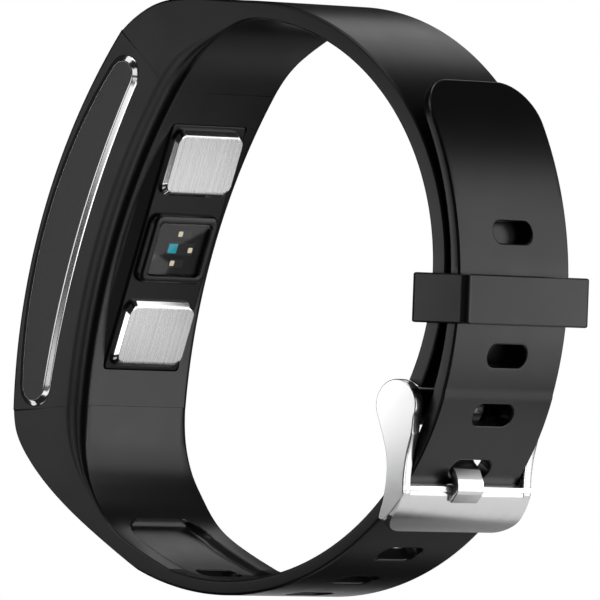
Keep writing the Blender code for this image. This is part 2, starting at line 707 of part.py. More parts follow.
def buckle_tongue():
    """A flat bent strip: eye round the spring bar, through the slot, hooked over the front bar."""
    x, z = PIVOT
    y0, y1 = TONGUE_Y - TONGUE_WIDTH / 2, TONGUE_Y + TONGUE_WIDTH / 2
    eye = rod(PIVOT, BAR_BORE + TONGUE_THICK, y0, y1)
    tongue = add("buckle_tongue", eye, "bright_chrome", (x, 0.0, z), 30.0)
    boolean(tongue, prism(strip_outline(smooth(TONGUE_PATH, 3), TONGUE_THICK), y0, y1), "UNION")
    boolean(tongue, rod(PIVOT, BAR_BORE, y0 - 1.0, y1 + 1.0, 20))


def spring_bar():
    x, z = PIVOT
    reach = BUCKLE_WIDTH / 2 - ARM_THICKNESS - 0.9
    tube = add("spring_bar", rod(PIVOT, TUBE_RADIUS, -reach, reach, 20), "spring_steel", (x, 0.0, z))
    boolean(tube, rod(PIVOT, TIP_RADIUS + 0.15, -reach - 1.0, reach + 1.0, 16))
    for side, sign in (("near", -1), ("far", 1)):
        y0, y1 = sorted((sign * 6.2, sign * (BUCKLE_WIDTH / 2 - 0.6)))
        add(f"spring_bar_tip_{side}", rod(PIVOT, TIP_RADIUS, y0, y1, 16), "spring_steel", (x, 0.0, z))
    spring_bar_coil()


def spring_bar_coil():
    """The wire coil between the two tips: a helix, worked out by a loop."""
    x, z = PIVOT
    steps = 10
    count = COIL_TURNS * steps
    rings = []
    for i in range(count + 1):
        a = 2 * math.pi * i / steps
        outward = Vector((math.cos(a), 0.0, math.sin(a)))
        middle = outward * COIL_RADIUS + Vector((0.0, -COIL_REACH + 2 * COIL_REACH * i / count, 0.0))
        ring = []
        for k in range(6):
            b = 2 * math.pi * k / 6
            q = middle + outward * COIL_WIRE * math.cos(b) + Vector((0.0, COIL_WIRE * math.sin(b), 0.0))
            ring.append(world(x + q.x, q.y, z + q.z))
        rings.append(ring)
    add("spring_bar_coil", loft(rings), "spring_steel", (x, 0.0, z))


def keeper_outline(wall_in, wall_out, side, radius):
    """Rounded rectangle (x, y), the keeper's outline less a wall on each side."""
    x0, x1 = KEEPER_X[0] + wall_in + radius, KEEPER_X[1] - wall_out - radius
    half = KEEPER_WIDTH / 2 - side - radius
    points = []
    for cx, cy, first in ((x1, half, 0), (x0, half, 90), (x0, -half, 180), (x1, -half, 270)):
        points += arc((cx, cy), radius, math.radians(first), math.radians(first + 90), 3)
    return points


def keeper_loop():
    half = KEEPER_HEIGHT / 2
    layers = [(-half, 0.25), (-half + 0.25, 0.0), (half - 0.25, 0.0), (half, 0.25)]
    rings = [[world(x, y, KEEPER_Z + dz) for x, y in keeper_outline(i, i, i, KEEPER_CORNER)]
             for dz, i in layers]
    loop = add("keeper_loop", loft(rings), "strap_rubber", (UPPER_CENTRE[0], 0.0, UPPER_CENTRE[1]))
    window = keeper_outline(KEEPER_WALL_IN, KEEPER_WALL_OUT, KEEPER_SIDE, 0.4)
    boolean(loop, loft([[world(x, y, KEEPER_Z + dz) for x, y in window] for dz in (-5.0, 5.0)]))


def build():
    clear_scene()
    case_housing()
    display_group()
    back_plate()
    for side, sign in (("upper", 1), ("lower", -1)):
        electrode(f"electrode_{side}", sign)
        electrode_spring(f"electrode_spring_{side}", sign)
    sensor_group()
    electronics()
    side_trim("near", -1)
    side_trim("far", 1)
    strap_upper()
    strap_lower()
    strap_pins()
    buckle_frame()
    buckle_tongue()
    spring_bar()
    keeper_loop()


build()
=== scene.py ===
"""Looks of the fitness tracker band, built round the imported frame.

Shapes are laid out in the design's millimetres, X and Z in the plane of the loop and Y along its
axis, and moved so that the middle of the whole band is the origin.  The case has its own frame:
t runs along it and n towards the wrist.
"""
import math

import bmesh
import bpy
import numpy as np
from mathutils import Matrix, Vector

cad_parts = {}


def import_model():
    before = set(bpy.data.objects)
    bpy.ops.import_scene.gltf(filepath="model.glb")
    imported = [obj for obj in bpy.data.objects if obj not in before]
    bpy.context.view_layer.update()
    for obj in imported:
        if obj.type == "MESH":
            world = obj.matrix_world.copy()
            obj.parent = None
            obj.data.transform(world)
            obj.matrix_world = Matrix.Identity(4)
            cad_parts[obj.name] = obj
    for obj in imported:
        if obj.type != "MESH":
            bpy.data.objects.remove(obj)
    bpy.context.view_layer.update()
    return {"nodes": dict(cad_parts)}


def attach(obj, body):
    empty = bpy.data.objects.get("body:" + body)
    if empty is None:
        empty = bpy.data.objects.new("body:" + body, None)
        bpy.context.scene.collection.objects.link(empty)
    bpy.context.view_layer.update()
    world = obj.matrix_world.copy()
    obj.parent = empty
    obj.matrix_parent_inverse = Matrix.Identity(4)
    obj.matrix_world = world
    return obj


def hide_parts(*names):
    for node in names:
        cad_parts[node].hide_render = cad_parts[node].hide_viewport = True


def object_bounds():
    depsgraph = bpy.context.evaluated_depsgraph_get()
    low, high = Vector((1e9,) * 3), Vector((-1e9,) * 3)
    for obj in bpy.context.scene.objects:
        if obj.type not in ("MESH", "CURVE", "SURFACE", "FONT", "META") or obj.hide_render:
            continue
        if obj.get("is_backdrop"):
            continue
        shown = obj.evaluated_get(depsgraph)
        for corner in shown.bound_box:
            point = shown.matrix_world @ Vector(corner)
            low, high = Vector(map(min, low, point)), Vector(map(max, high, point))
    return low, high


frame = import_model()

MM = 0.001

# ---- driving dimensions, millimetres ----
CENTRE = (1.205, 0.24)
BAND_WIDTH = 18.8
HALF = BAND_WIDTH / 2

CASE_ORIGIN = (-16.36, 5.36)
CASE_TILT = math.radians(18.0)
FRONT_DEPTH = 12.1
FRONT_RADIUS = 70.0
BACK_DEPTH = 1.43
BACK_RADIUS = 72.3
SEAM_FRONT_T = 22.2
SEAM_BACK_T = 18.2
SIDE_ROUND = 1.5                 # rounding of the case's long wrist-side edges, across the band
BACK_ROUND = 2.3                 # and down from the wrist side
FRONT_SIDE = 0.7                 # the same for the display-side edges
FRONT_ROUND = 0.5

LENS_HALF_LENGTH = 19.9
LENS_HALF_WIDTH = 8.45
LENS_THICKNESS = 1.2
LENS_CROWN = 0.45                # how much the glass falls from its middle to its long edges
LENS_EDGE = 0.45
LENS_BEVEL = 0.25
LENS_GAP = 0.15                  # clearance of the housing's opening for the lens

PAD_LENGTH = 28.6
PAD_WIDTH = 12.4
PAD_THICKNESS = 2.1
PAD_CORNER = 0.5
PAD_EDGE = 0.22
PAD_SLOPE = 0.8                  # how much the long sides lean out for each unit of depth
PAD_SLOPE_DEPTH = 1.6
PAD_GROOVE = 0.015

ELECTRODE_T = 9.95
ELECTRODE_SIZE = (7.6, 11.3)
ELECTRODE_TOP = 0.8
ELECTRODE_FOOT = 0.36            # where the chamfers start
ELECTRODE_END_RUN = 0.52         # how far the chamfers lean in at the ends
ELECTRODE_SIDE_RUN = 0.27        # and at the long sides
ELECTRODE_CORNER = 1.35
SENSOR_SIZE = (8.0, 11.1)
SENSOR_GLASS = (6.0, 8.5)
SENSOR_TOP = 0.8
SENSOR_CORNER = 1.3
SENSOR_EDGE = 0.6
SENSOR_LIP = 0.12
GLASS_CORNER = 0.5
GLASS_DROP = 0.2                 # how far the window lies below the sensor frame's top
GLASS_THICKNESS = 0.22
BOARD_TOP = 0.2
PACKAGE_TOP = 0.27
LAMP_TOP = 0.3

TRIM_MIDDLE = (-0.43, -8.35)
TRIM_HALF_LENGTH = 18.25
TRIM_RADIUS = 75.0
TRIM_END = 2.1
TRIM_BELLY = 0.85
TRIM_CHAMFER = 0.66
TRIM_RISE = 0.37
TRIM_LIP = 0.05
TRIM_STEP = 0.02
TRIM_FOOT = 0.7                  # how deep the bezel stands in the case

UPPER_CENTRE = (1.2, 3.75)
UPPER_OUTER = 28.8
UPPER_INNER = 26.8
LOWER_CENTRE = (-0.35, -0.25)
LOWER_OUTER = 32.05
LOWER_THICKNESS = 1.65
TAIL_CENTRE = (-7.93, 2.05)
TAIL_OUTER = 39.9
TAIL_JOIN = math.radians(-16.9)
TAIL_END = math.radians(34.6)
TIP_THICKNESS = 1.1
TIP_CORNER = 5.2
STRAP_EDGE = 0.3
STRAP_FADE = 16.0                # distance over which the case's rounding fades to the strap's
SEAM_GAP = 0.03
NEAR_SEAM = [0.03, 0.08, 0.16]   # close-set cuts that keep the seam crisp

SLOT_COUNT = 11
SLOT_PITCH = 6.75
SLOT_WIDTH = 6.6
SLOT_HEIGHT = 2.5
SLOT_EDGE = 0.2
FIRST_SLOT = 17.8
TROUGH_WIDTH = 13.0
TROUGH_DEPTH = 0.9
TROUGH_START = 13.2
TROUGH_END = 36.0
TROUGH_CORNER = 3.4
TROUGH_RIM = 1.3                 # width over which the trough's wall falls to its floor

PIVOT = (24.95, -10.75)
ARM_END = 2.8
ARM_THICKNESS = 1.35
BUCKLE_WIDTH = 21.9
BARREL_RADIUS = 2.1
BARREL_WIDTH = 17.8
NOTCH_WIDTH = 5.6
NOTCH_RADIUS = 3.3
BAR_BORE = 1.15
TUBE_RADIUS = 0.85
TIP_RADIUS = 0.45
TONGUE_WIDTH = 4.5
TONGUE_THICKNESS = 0.8
TONGUE_EYE = 1.95
TONGUE_Y = -0.5
ARM_EDGE = 0.14
PLATE_CORNER = (3.2, 2.3)        # size of the front plate's lower corners, across and down

KEEPER_Z = 0.93
KEEPER_WIDTH = 21.4
KEEPER_HEIGHT = 5.4
KEEPER_X = (26.1, 34.1)
KEEPER_CORNER = 0.9
KEEPER_INNER_CORNER = 0.45
KEEPER_EDGE = 0.22
KEEPER_WALL_IN = 1.1
KEEPER_WALL_OUT = 1.8
KEEPER_SIDE = 1.1


# ---- points and outlines ----
def world(x, y, z):
    return Vector(((x - CENTRE[0]) * MM, y * MM, (z - CENTRE[1]) * MM))


def case_point(t, n):
    """Design X and Z of a point of the case's frame."""
    sine, cosine = math.sin(CASE_TILT), math.cos(CASE_TILT)
    return (CASE_ORIGIN[0] + t * sine + n * cosine, CASE_ORIGIN[1] + t * cosine - n * sine)


def case_world(t, n, y):
    x, z = case_point(t, n)
    return world(x, y, z)


def front_n(t, inset=0.0):
    radius = FRONT_RADIUS - inset
    return -FRONT_DEPTH + inset + radius - math.sqrt(radius ** 2 - t ** 2)


def back_n(t, inset=0.0):
    radius = BACK_RADIUS + inset
    return -BACK_DEPTH - inset + radius - math.sqrt(radius ** 2 - t ** 2)


def spread(first, last, count):
    """Evenly spaced numbers from first to last, in count steps."""
    return [first + (last - first) * i / count for i in range(count + 1)]


def ease(u):
    """0 below 0, 1 above 1 and smooth between them."""
    u = max(0.0, min(1.0, u))
    return u * u * (3 - 2 * u)


def arc(centre, radius, start, end, count):
    return [(centre[0] + radius * math.cos(a), centre[1] + radius * math.sin(a))
            for a in spread(start, end, count)]


def smooth(points, count, before=None):
    """A Catmull-Rom curve through the points, with count steps for each span."""
    first = before or tuple(2 * a - b for a, b in zip(points[0], points[1]))
    last = tuple(2 * a - b for a, b in zip(points[-1], points[-2]))
    knots = [first, *points, last]
    curve = []
    for i in range(1, len(knots) - 2):
        p0, p1, p2, p3 = (Vector(knots[i + k]) for k in (-1, 0, 1, 2))
        for j in range(count):
            u = j / count
            p = (2 * p1 + (p2 - p0) * u + (2 * p0 - 5 * p1 + 4 * p2 - p3) * u ** 2
                 + (3 * p1 - p0 - 3 * p2 + p3) * u ** 3)
            curve.append(tuple(0.5 * p))
    return curve + [tuple(points[-1])]


def thinned(points, gap):
    """The points, less those within gap of the one kept before."""
    kept = [points[0]]
    for p in points[1:]:
        if math.dist(p, kept[-1]) > gap:
            kept.append(p)
    return kept


class Line:
    """A dense plane line that can be read at any distance along it."""

    def __init__(self, *parts):
        self.points = np.array(thinned([p for part in parts for p in part], 1e-7))
        steps = np.hypot(*np.diff(self.points, axis=0).T)
        self.table = np.concatenate([[0.0], np.cumsum(steps)])
        self.length = float(self.table[-1])

    def at(self, s):
        return (float(np.interp(s, self.table, self.points[:, 0])),
                float(np.interp(s, self.table, self.points[:, 1])))


def rounded_rect(length, width, radius, steps=8):
    """Rounded rectangle (t, y) about the origin."""
    points = []
    for k, (st, sy) in enumerate(((1, 1), (-1, 1), (-1, -1), (1, -1))):
        centre = (st * (length / 2 - radius), sy * (width / 2 - radius))
        points += arc(centre, radius, math.pi / 2 * k, math.pi / 2 * (k + 1), steps)
    return points


def quarter(steps):
    """(share in, share down) of a rounding, from the side (0, 1) to the face (1, 0)."""
    return [(1 - math.cos(a), 1 - math.sin(a)) for a in spread(0.0, math.pi / 2, steps)]


# ---- meshes and objects ----
def bridge(mesh, row, following):
    """Quads between two closed rows of vertices."""
    for i in range(len(row)):
        j = (i + 1) % len(row)
        mesh.faces.new((row[i], row[j], following[j], following[i]))


def loft(rings, capped=True):
    """A mesh through rings of equal length; the rings close on themselves, the ends if capped."""
    mesh = bmesh.new()
    rows = [[mesh.verts.new(p) for p in ring] for ring in rings]
    for row, following in zip(rows, rows[1:]):
        bridge(mesh, row, following)
    if capped:
        mesh.faces.new(list(reversed(rows[0])))
        mesh.faces.new(rows[-1])
    bmesh.ops.recalc_face_normals(mesh, faces=mesh.faces)
    return mesh


def add(name, data):
    made = bpy.data.objects.new(name, data)
    bpy.context.scene.collection.objects.link(made)
    return made


def make(name, shape, material=None):
    data = bpy.data.meshes.new(name)
    shape.to_mesh(data)
    shape.free()
    if material:
        data.materials.append(material)
    return add(name, data)


def cut(target, shape, operation="DIFFERENCE"):
    """Boolean with an exact solver; the tool is removed by settle()."""
    tool = make(f"{target.name}_tool_{len(target.modifiers)}", shape)
    tool.hide_render = True
    change = target.modifiers.new(operation.title(), "BOOLEAN")
    change.operation = operation
    change.object = tool


def settle(target, angle):
    """Apply the modifiers, drop their tools and set smooth shading with sharp edges kept."""
    tools = [m.object for m in target.modifiers if m.type == "BOOLEAN"]
    graph = bpy.context.evaluated_depsgraph_get()
    final = bpy.data.meshes.new_from_object(target.evaluated_get(graph))
    target.modifiers.clear()
    target.data = final
    for tool in tools:
        bpy.data.objects.remove(tool)
    final.shade_smooth()
    final.set_sharp_from_angle(angle=math.radians(angle))
    target.modifiers.new("Normals", "WEIGHTED_NORMAL").keep_sharp = True


def place(piece, body, slot, *nodes, angle=40.0):
    """Finish a piece, with edges sharper than angle kept, give it its body and hide its nodes; slot is
    not used.
    """
    settle(piece, angle)
    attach(piece, body)
    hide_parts(*nodes)


# ---- materials ----
class Paint:
    """A small builder for one procedural material."""

    def __init__(self, name, colour, roughness, metallic=0.0, **sockets):
        self.made = bpy.data.materials.new(name)
        self.made.use_nodes = True
        self.tree = self.made.node_tree
        self.shader = self.tree.nodes["Principled BSDF"]
        self.shader.inputs["Base Color"].default_value = (*colour, 1.0)
        self.shader.inputs["Metallic"].default_value = metallic
        self.shader.inputs["Roughness"].default_value = roughness
        for socket, value in sockets.items():
            self.shader.inputs[socket.replace("_", " ")].default_value = value
        self.colour = colour
        self.roughness = roughness

    def node(self, kind, **values):
        made = self.tree.nodes.new(kind)
        for key, value in values.items():
            if key in made.inputs:
                made.inputs[key].default_value = value
            else:
                setattr(made, key, value)
        return made

    def link(self, source, target):
        self.tree.links.new(source, target)

    def mapped(self, source, scale=(1.0, 1.0, 1.0), turn=(0.0, 0.0, 0.0)):
        mapping = self.node("ShaderNodeMapping", Scale=scale, Rotation=turn)
        self.link(source, mapping.inputs["Vector"])
        return mapping.outputs["Vector"]

    def coordinates(self):
        return self.node("ShaderNodeTexCoord").outputs["Object"]

    def noise(self, size, detail=2.0, roughness=0.5, vector=None):
        """Noise whose cells are about size metres."""
        made = self.node("ShaderNodeTexNoise", Scale=1.0 / size, Detail=detail, Roughness=roughness)
        self.link(vector or self.coordinates(), made.inputs["Vector"])
        return made.outputs["Fac"]

    def remap(self, value, low, high):
        """Noise, which mostly stays between 0.3 and 0.7, spread over low to high."""
        made = self.node("ShaderNodeMapRange")
        for socket, limit in zip(("From Min", "From Max", "To Min", "To Max"), (0.3, 0.7, low, high)):
            made.inputs[socket].default_value = limit
        self.link(value, made.inputs["Value"])
        return made.outputs["Result"]

    def vary_roughness(self, value, amount):
        result = self.remap(value, self.roughness - amount, self.roughness + amount)
        self.link(result, self.shader.inputs["Roughness"])

    def vary_colour(self, value, amount):
        """Lighter and darker by a share of the base colour."""
        mix = self.node("ShaderNodeMix", data_type="RGBA")
        ends = [s for s in mix.inputs if s.type == "RGBA"]
        for socket, share in zip(ends, (1 - amount, 1 + amount)):
            socket.default_value = (*(c * share for c in self.colour), 1.0)
        self.link(self.remap(value, 0.0, 1.0), mix.inputs["Factor"])
        out = next(s for s in mix.outputs if s.type == "RGBA")
        self.link(out, self.shader.inputs["Base Color"])

    def bump(self, value, depth):
        """Relief of about depth metres."""
        made = self.node("ShaderNodeBump", Distance=depth, Strength=1.0)
        self.link(value, made.inputs["Height"])
        self.link(made.outputs["Normal"], self.shader.inputs["Normal"])


def moulded(name, colour, roughness, grain=0.00009, amount=0.015, depth=0.0000015, **sockets):
    """Satin moulded plastic or rubber: a fine mould texture and a slow drift in gloss."""
    paint = Paint(name, colour, roughness, **sockets)
    fine = paint.noise(grain)
    paint.vary_roughness(paint.noise(0.004), amount)
    paint.vary_colour(fine, 0.12)
    paint.bump(fine, depth)
    return paint.made


def polished(name, colour, roughness):
    """Plated metal with a faint polish haze."""
    paint = Paint(name, colour, roughness, metallic=1.0)
    paint.vary_roughness(paint.noise(0.0012), roughness * 0.08)
    return paint.made


def brushed(name, colour, roughness, along, line=0.00007, stretch=400.0, depth=0.0000008):
    """Metal with long fine scratches that run along one direction of the object."""
    paint = Paint(name, colour, roughness, metallic=1.0)
    turn = Vector((1.0, 0.0, 0.0)).rotation_difference(along).inverted().to_euler()
    turned = paint.mapped(paint.coordinates(), turn=turn)
    stretched = paint.mapped(turned, scale=(1.0 / stretch, 1.0, 1.0))
    scratches = paint.noise(line, 3.0, 0.6, stretched)
    broad = paint.noise(line / 0.18, vector=stretched)
    paint.vary_roughness(scratches, 0.06)
    paint.vary_colour(broad, 0.1)
    paint.bump(scratches, depth)
    return paint.made


CASE_AXIS = (case_world(1.0, 0.0, 0.0) - case_world(0.0, 0.0, 0.0)).normalized()
TO_WRIST = (case_world(0.0, 1.0, 0.0) - case_world(0.0, 0.0, 0.0)).normalized()
BLACK = (0.0045, 0.0045, 0.0048)

BODY = moulded("body_plastic", BLACK, 0.30)
STRAP = moulded("strap_rubber", BLACK, 0.30, grain=0.00012)
KEEPER = moulded("keeper_rubber", (0.006, 0.006, 0.0063), 0.34, grain=0.00012)
INSERT = moulded("insert_plastic", (0.12, 0.12, 0.121), 0.6, grain=0.00016, depth=0.000006)
CHROME = polished("bright_chrome", (0.86, 0.86, 0.87), 0.22)
TRIM = polished("trim_chrome", (0.80, 0.80, 0.81), 0.12)
STEEL = polished("spring_steel", (0.6, 0.6, 0.61), 0.28)
BRUSHED = brushed("electrode_brushed", (0.93, 0.93, 0.93), 0.26, CASE_AXIS)
CHAMFER = polished("electrode_chamfer", (0.9, 0.9, 0.9), 0.12)
PAD = moulded("pad_plastic", BLACK, 0.30, Specular_IOR_Level=0.3)
GLASS = moulded("display_glass", (0.004, 0.004, 0.005), 0.06, amount=0.01, depth=0.0)
GASKET = moulded("gasket_foam", (0.02, 0.02, 0.02), 0.9)
BOARD = moulded("circuit_board", (0.01, 0.05, 0.03), 0.45, grain=0.0005)
PACKAGE = moulded("package_plastic", (0.03, 0.03, 0.03), 0.5)
BATTERY = moulded("battery_foil", (0.55, 0.56, 0.58), 0.35, grain=0.0006)
FLEX = moulded("flex_film", (0.55, 0.28, 0.06), 0.35, grain=0.0006)
SOLDER_MASK = moulded("sensor_solder_mask", (0.003, 0.003, 0.003), 0.6)
# Painted glow: the LED_PAINTED_GLOW gel emits its own cream colour so it reads brighter, though the
# LEDs are not lit.
LED_PAINTED_GLOW = moulded("led_gel_painted_glow", (0.95, 0.86, 0.62), 0.3, grain=0.0002,
              Emission_Color=(1.0, 0.9, 0.66, 1.0), Emission_Strength=0.4)
# Painted glow: the diode's teal filter emits light so it reads brighter, though a photodiode gives off
# none.
DIODE_PAINTED_GLOW = moulded("diode_filter_painted_glow", (0.01, 0.36, 0.46), 0.25, grain=0.0003,
                Emission_Color=(0.0, 0.5, 0.65, 1.0), Emission_Strength=0.35)


def window_glass():
    """Clear cover glass: its front faces mirror by Fresnel's law, and the rest passes through."""
    paint = Paint("sensor_cover_glass", (1.0, 1.0, 1.0), 0.03, metallic=1.0)
    clear = paint.node("ShaderNodeBsdfTransparent", Color=(0.95, 0.95, 0.95, 1.0))
    fresnel = paint.node("ShaderNodeFresnel", IOR=1.55)
    sides = paint.node("ShaderNodeNewGeometry")
    front = paint.node("ShaderNodeMath", operation="SUBTRACT")
    front.inputs[0].default_value = 1.0          # 1 on front faces, 0 on the glass's inner faces
    share = paint.node("ShaderNodeMath", operation="MULTIPLY")
    mix = paint.node("ShaderNodeMixShader")
    out = paint.tree.nodes["Material Output"]
    paint.link(sides.outputs["Backfacing"], front.inputs[1])
    paint.link(fresnel.outputs[0], share.inputs[0])
    paint.link(front.outputs[0], share.inputs[1])
    paint.link(share.outputs[0], mix.inputs["Fac"])
    paint.link(clear.outputs[0], mix.inputs[1])
    paint.link(paint.shader.outputs[0], mix.inputs[2])
    paint.link(mix.outputs[0], out.inputs["Surface"])
    return paint.made


WINDOW = window_glass()


# ---- case module ----
def case_outline(front_inset, back_inset, steps=60):
    """Closed outline of the case, (t, n); its ends keep to the seam planes."""
    slope = (SEAM_FRONT_T - SEAM_BACK_T) / (back_n(SEAM_BACK_T) - front_n(SEAM_FRONT_T))
    front_t = SEAM_FRONT_T - slope * front_inset
    back_t = SEAM_BACK_T + slope * back_inset
    return ([(t, front_n(t, front_inset)) for t in spread(-front_t, front_t, steps)]
            + [(t, back_n(t, back_inset)) for t in spread(back_t, -back_t, steps)])


def case_housing():
    """Solid in the middle: inner parts are bedded in it, and openings are cut where pieces show."""
    side = [(-HALF + SIDE_ROUND * share, down) for share, down in quarter(12)]
    layers = side + [(-y, down) for y, down in reversed(side)]
    rings = []
    for y, down in layers:
        into = max(0.0, (abs(y) - HALF + FRONT_SIDE) / FRONT_SIDE)
        outline = case_outline(FRONT_ROUND * (1 - math.sqrt(1 - into ** 2)), BACK_ROUND * down)
        rings.append([case_world(t, n, y) for t, n in outline])
    housing = make("housing_shell", loft(rings), BODY)
    cut(housing, lens_sweep(LENS_HALF_LENGTH + LENS_GAP, LENS_HALF_WIDTH + LENS_GAP, -1.0, 1.8,
                            0.0, 0.3))
    cut(housing, pad_shape(PAD_GROOVE, PAD_THICKNESS + 0.1))
    for sign in (-1, 1):
        cut(housing, trim_loft([(0.02, HALF - TRIM_FOOT - 0.15), (0.02, HALF + 1.0)], sign))
    place(housing, "band", "body_plastic", "case_housing")


def lens_sweep(half_length, half_width, front_inset, back_inset, crown, radius, steps=60):
    """A curved plate under the case's front line: crowned across, with rounded long edges."""
    across = spread(-1.0, 1.0, 24 if crown else 2)
    rings = []
    for t in spread(-half_length, half_length, steps):
        outer, inner = front_n(t, front_inset), front_n(t, back_inset)
        ring = [(y * (half_width - radius), outer - crown * (1 - y * y)) for y in across]
        edge = [(half_width - radius * share, outer + radius * down)
                for share, down in quarter(5)[:-1]]
        ring += [*reversed(edge), (half_width, inner), (-half_width, inner)]
        ring += [(-y, n) for y, n in edge]
        rings.append([case_world(t, n, y) for y, n in ring])
    return loft(rings)


def display_lens():
    shape = lens_sweep(LENS_HALF_LENGTH, LENS_HALF_WIDTH, 0.0, LENS_THICKNESS, LENS_CROWN, LENS_EDGE)
    lens = make("lens_glass", shape, GLASS)
    edge = lens.modifiers.new("Edge", "BEVEL")
    edge.width = LENS_BEVEL * MM
    edge.segments = 3
    edge.limit_method = "ANGLE"
    edge.angle_limit = math.radians(50.0)
    place(lens, "band", "dark_glass", "display_lens")


def tile(middle_t, layers, steps=8, middle_y=0.0, capped=True):
    """A stack of rounded rectangles in the case's frame: (n, length, width, radius) each."""
    return loft([[case_world(middle_t + t, n, middle_y + y)
                  for t, y in rounded_rect(length, width, radius, steps)]
                 for n, length, width, radius in layers], capped)


def rounded_top(top, length, width, radius, edge, steps=5):
    """Layers of a tile's rounded upper edge, from its side up to its face."""
    return [(top - edge * down, length - 2 * edge * share, width - 2 * edge * share,
             max(0.05, radius - edge * share)) for share, down in quarter(steps)]


def pad_shape(grow, thickness):
    """The raised straight pad: its long sides lean out below its flat face."""
    length, width = PAD_LENGTH + 2 * grow, PAD_WIDTH + 2 * grow
    if grow:
        layers = [(1.5, length, width, PAD_CORNER)]
    else:
        rim = rounded_top(0.0, PAD_LENGTH, PAD_WIDTH, PAD_CORNER, PAD_EDGE)
        layers = [(n, le, wi - 2 * PAD_SLOPE * n, corner) for n, le, wi, corner in reversed(rim)]
    for depth in spread(0.25, PAD_SLOPE_DEPTH, 3) + [thickness]:
        lean = PAD_SLOPE * min(depth, PAD_SLOPE_DEPTH)
        layers.append((-depth, length, width + 2 * lean, PAD_CORNER + grow))
    return tile(0.0, layers)


def back_plate():
    plate = make("wrist_pad", pad_shape(0.0, PAD_THICKNESS), PAD)
    length, width = SENSOR_GLASS
    cut(plate, tile(0.0, [(-4.0, length, width, 0.6), (1.0, length, width, 0.6)]))
    place(plate, "band", "body_plastic", "back_plate")


def electrode(side, sign):
    """A raised steel plate: bright drawn sides, a fine chamfer and a brushed face."""
    length, width = ELECTRODE_SIZE
    foot, face = ELECTRODE_FOOT, ELECTRODE_TOP

    def ring(n, end_in, side_in, corner):
        return n, length - 2 * end_in, width - 2 * side_in, corner

    rings = [ring(-1.0, 0.0, 0.0, ELECTRODE_CORNER), ring(foot, 0.0, 0.0, ELECTRODE_CORNER)]
    rings += [ring(foot + (face - foot) * u, ELECTRODE_END_RUN * u, ELECTRODE_SIDE_RUN * u,
                   ELECTRODE_CORNER - ELECTRODE_SIDE_RUN * u) for u in (0.06, 0.5, 0.94)]
    rings += [ring(face, ELECTRODE_END_RUN + margin, ELECTRODE_SIDE_RUN + margin, corner)
              for margin, corner in ((0.03, 1.05), (0.25, 0.85))]
    plate = make(f"electrode_plate_{side}", tile(sign * ELECTRODE_T, rings, 12), CHAMFER)
    plate.data.materials.append(BRUSHED)
    for polygon in plate.data.polygons:
        if polygon.normal.dot(TO_WRIST) > 0.97:
            polygon.material_index = 1
    place(plate, "band", "brushed_steel", f"electrode_{side}", angle=25.0)


def sensor():
    """The raised rounded frame and the glass in it."""
    length, width = SENSOR_SIZE
    rings = [(n, length, width, SENSOR_CORNER) for n in (-1.2, 0.0)]
    rings += rounded_top(SENSOR_TOP, length, width, SENSOR_CORNER, SENSOR_EDGE, 8)
    inner_l, inner_w = (size + SENSOR_LIP for size in SENSOR_GLASS)
    for out, n in ((SENSOR_LIP, SENSOR_TOP), (0.6 * SENSOR_LIP, SENSOR_TOP - 0.02),
                   (0.0, SENSOR_TOP - SENSOR_LIP)):
        rings.append((n, inner_l + 2 * out, inner_w + 2 * out, 0.6))
    rings += [(n, inner_l, inner_w, GLASS_CORNER) for n in (SENSOR_TOP - 0.35, -1.2)]
    boss = make("sensor_boss", tile(0.0, rings, 10, capped=False), BODY)
    place(boss, "band", "body_plastic", "sensor_frame", angle=45.0)

    top = SENSOR_TOP - GLASS_DROP
    rings = [(top - GLASS_THICKNESS, *SENSOR_GLASS, GLASS_CORNER)]
    rings += rounded_top(top, *SENSOR_GLASS, GLASS_CORNER, 0.08, 3)
    window = make("sensor_glass", tile(0.0, rings, 10), WINDOW)
    place(window, "band", "dark_glass", "sensor_window")


def box_tile(name, material, t, y, n0, n1, length, width, edge=0.03, radius=0.06):
    rings = [(n0, length, width, radius)] + rounded_top(n1, length, width, radius, edge, 2)
    return make(name, tile(t, rings, 3, y), material)


# ---- side trims ----
def trim_outline(grow, steps=60):
    """Outline of the long side trim, (t, n), widest at mid length with round ends."""
    t_mid, n_mid = TRIM_MIDDLE
    sides = []
    for u in spread(-1.0, 1.0, steps):
        t = u * TRIM_HALF_LENGTH
        n = TRIM_RADIUS - math.sqrt(TRIM_RADIUS ** 2 - t ** 2)
        width = TRIM_END + TRIM_BELLY * (1 - u * u) + grow
        sides.append((t_mid + t, n_mid + n, t / TRIM_RADIUS, width))
    front = [(t + s * w, n - w) for t, n, s, w in sides]
    back = [(t - s * w, n + w) for t, n, s, w in reversed(sides)]
    ends = []
    for t, n, slope, width in (sides[-1], sides[0]):
        first = (-math.pi / 2 if t > 0 else math.pi / 2) + math.atan(slope)
        ends.append(arc((t, n), width, first, first + math.pi, 20)[1:-1])
    return front + ends[0] + back + ends[1]


def trim_loft(layers, sign, capped=True):
    """A solid or a closed ring on the trim's outline: (grow, y) for each layer."""
    return loft([[case_world(t, n, sign * y) for t, n in trim_outline(grow)]
                 for grow, y in layers], capped)


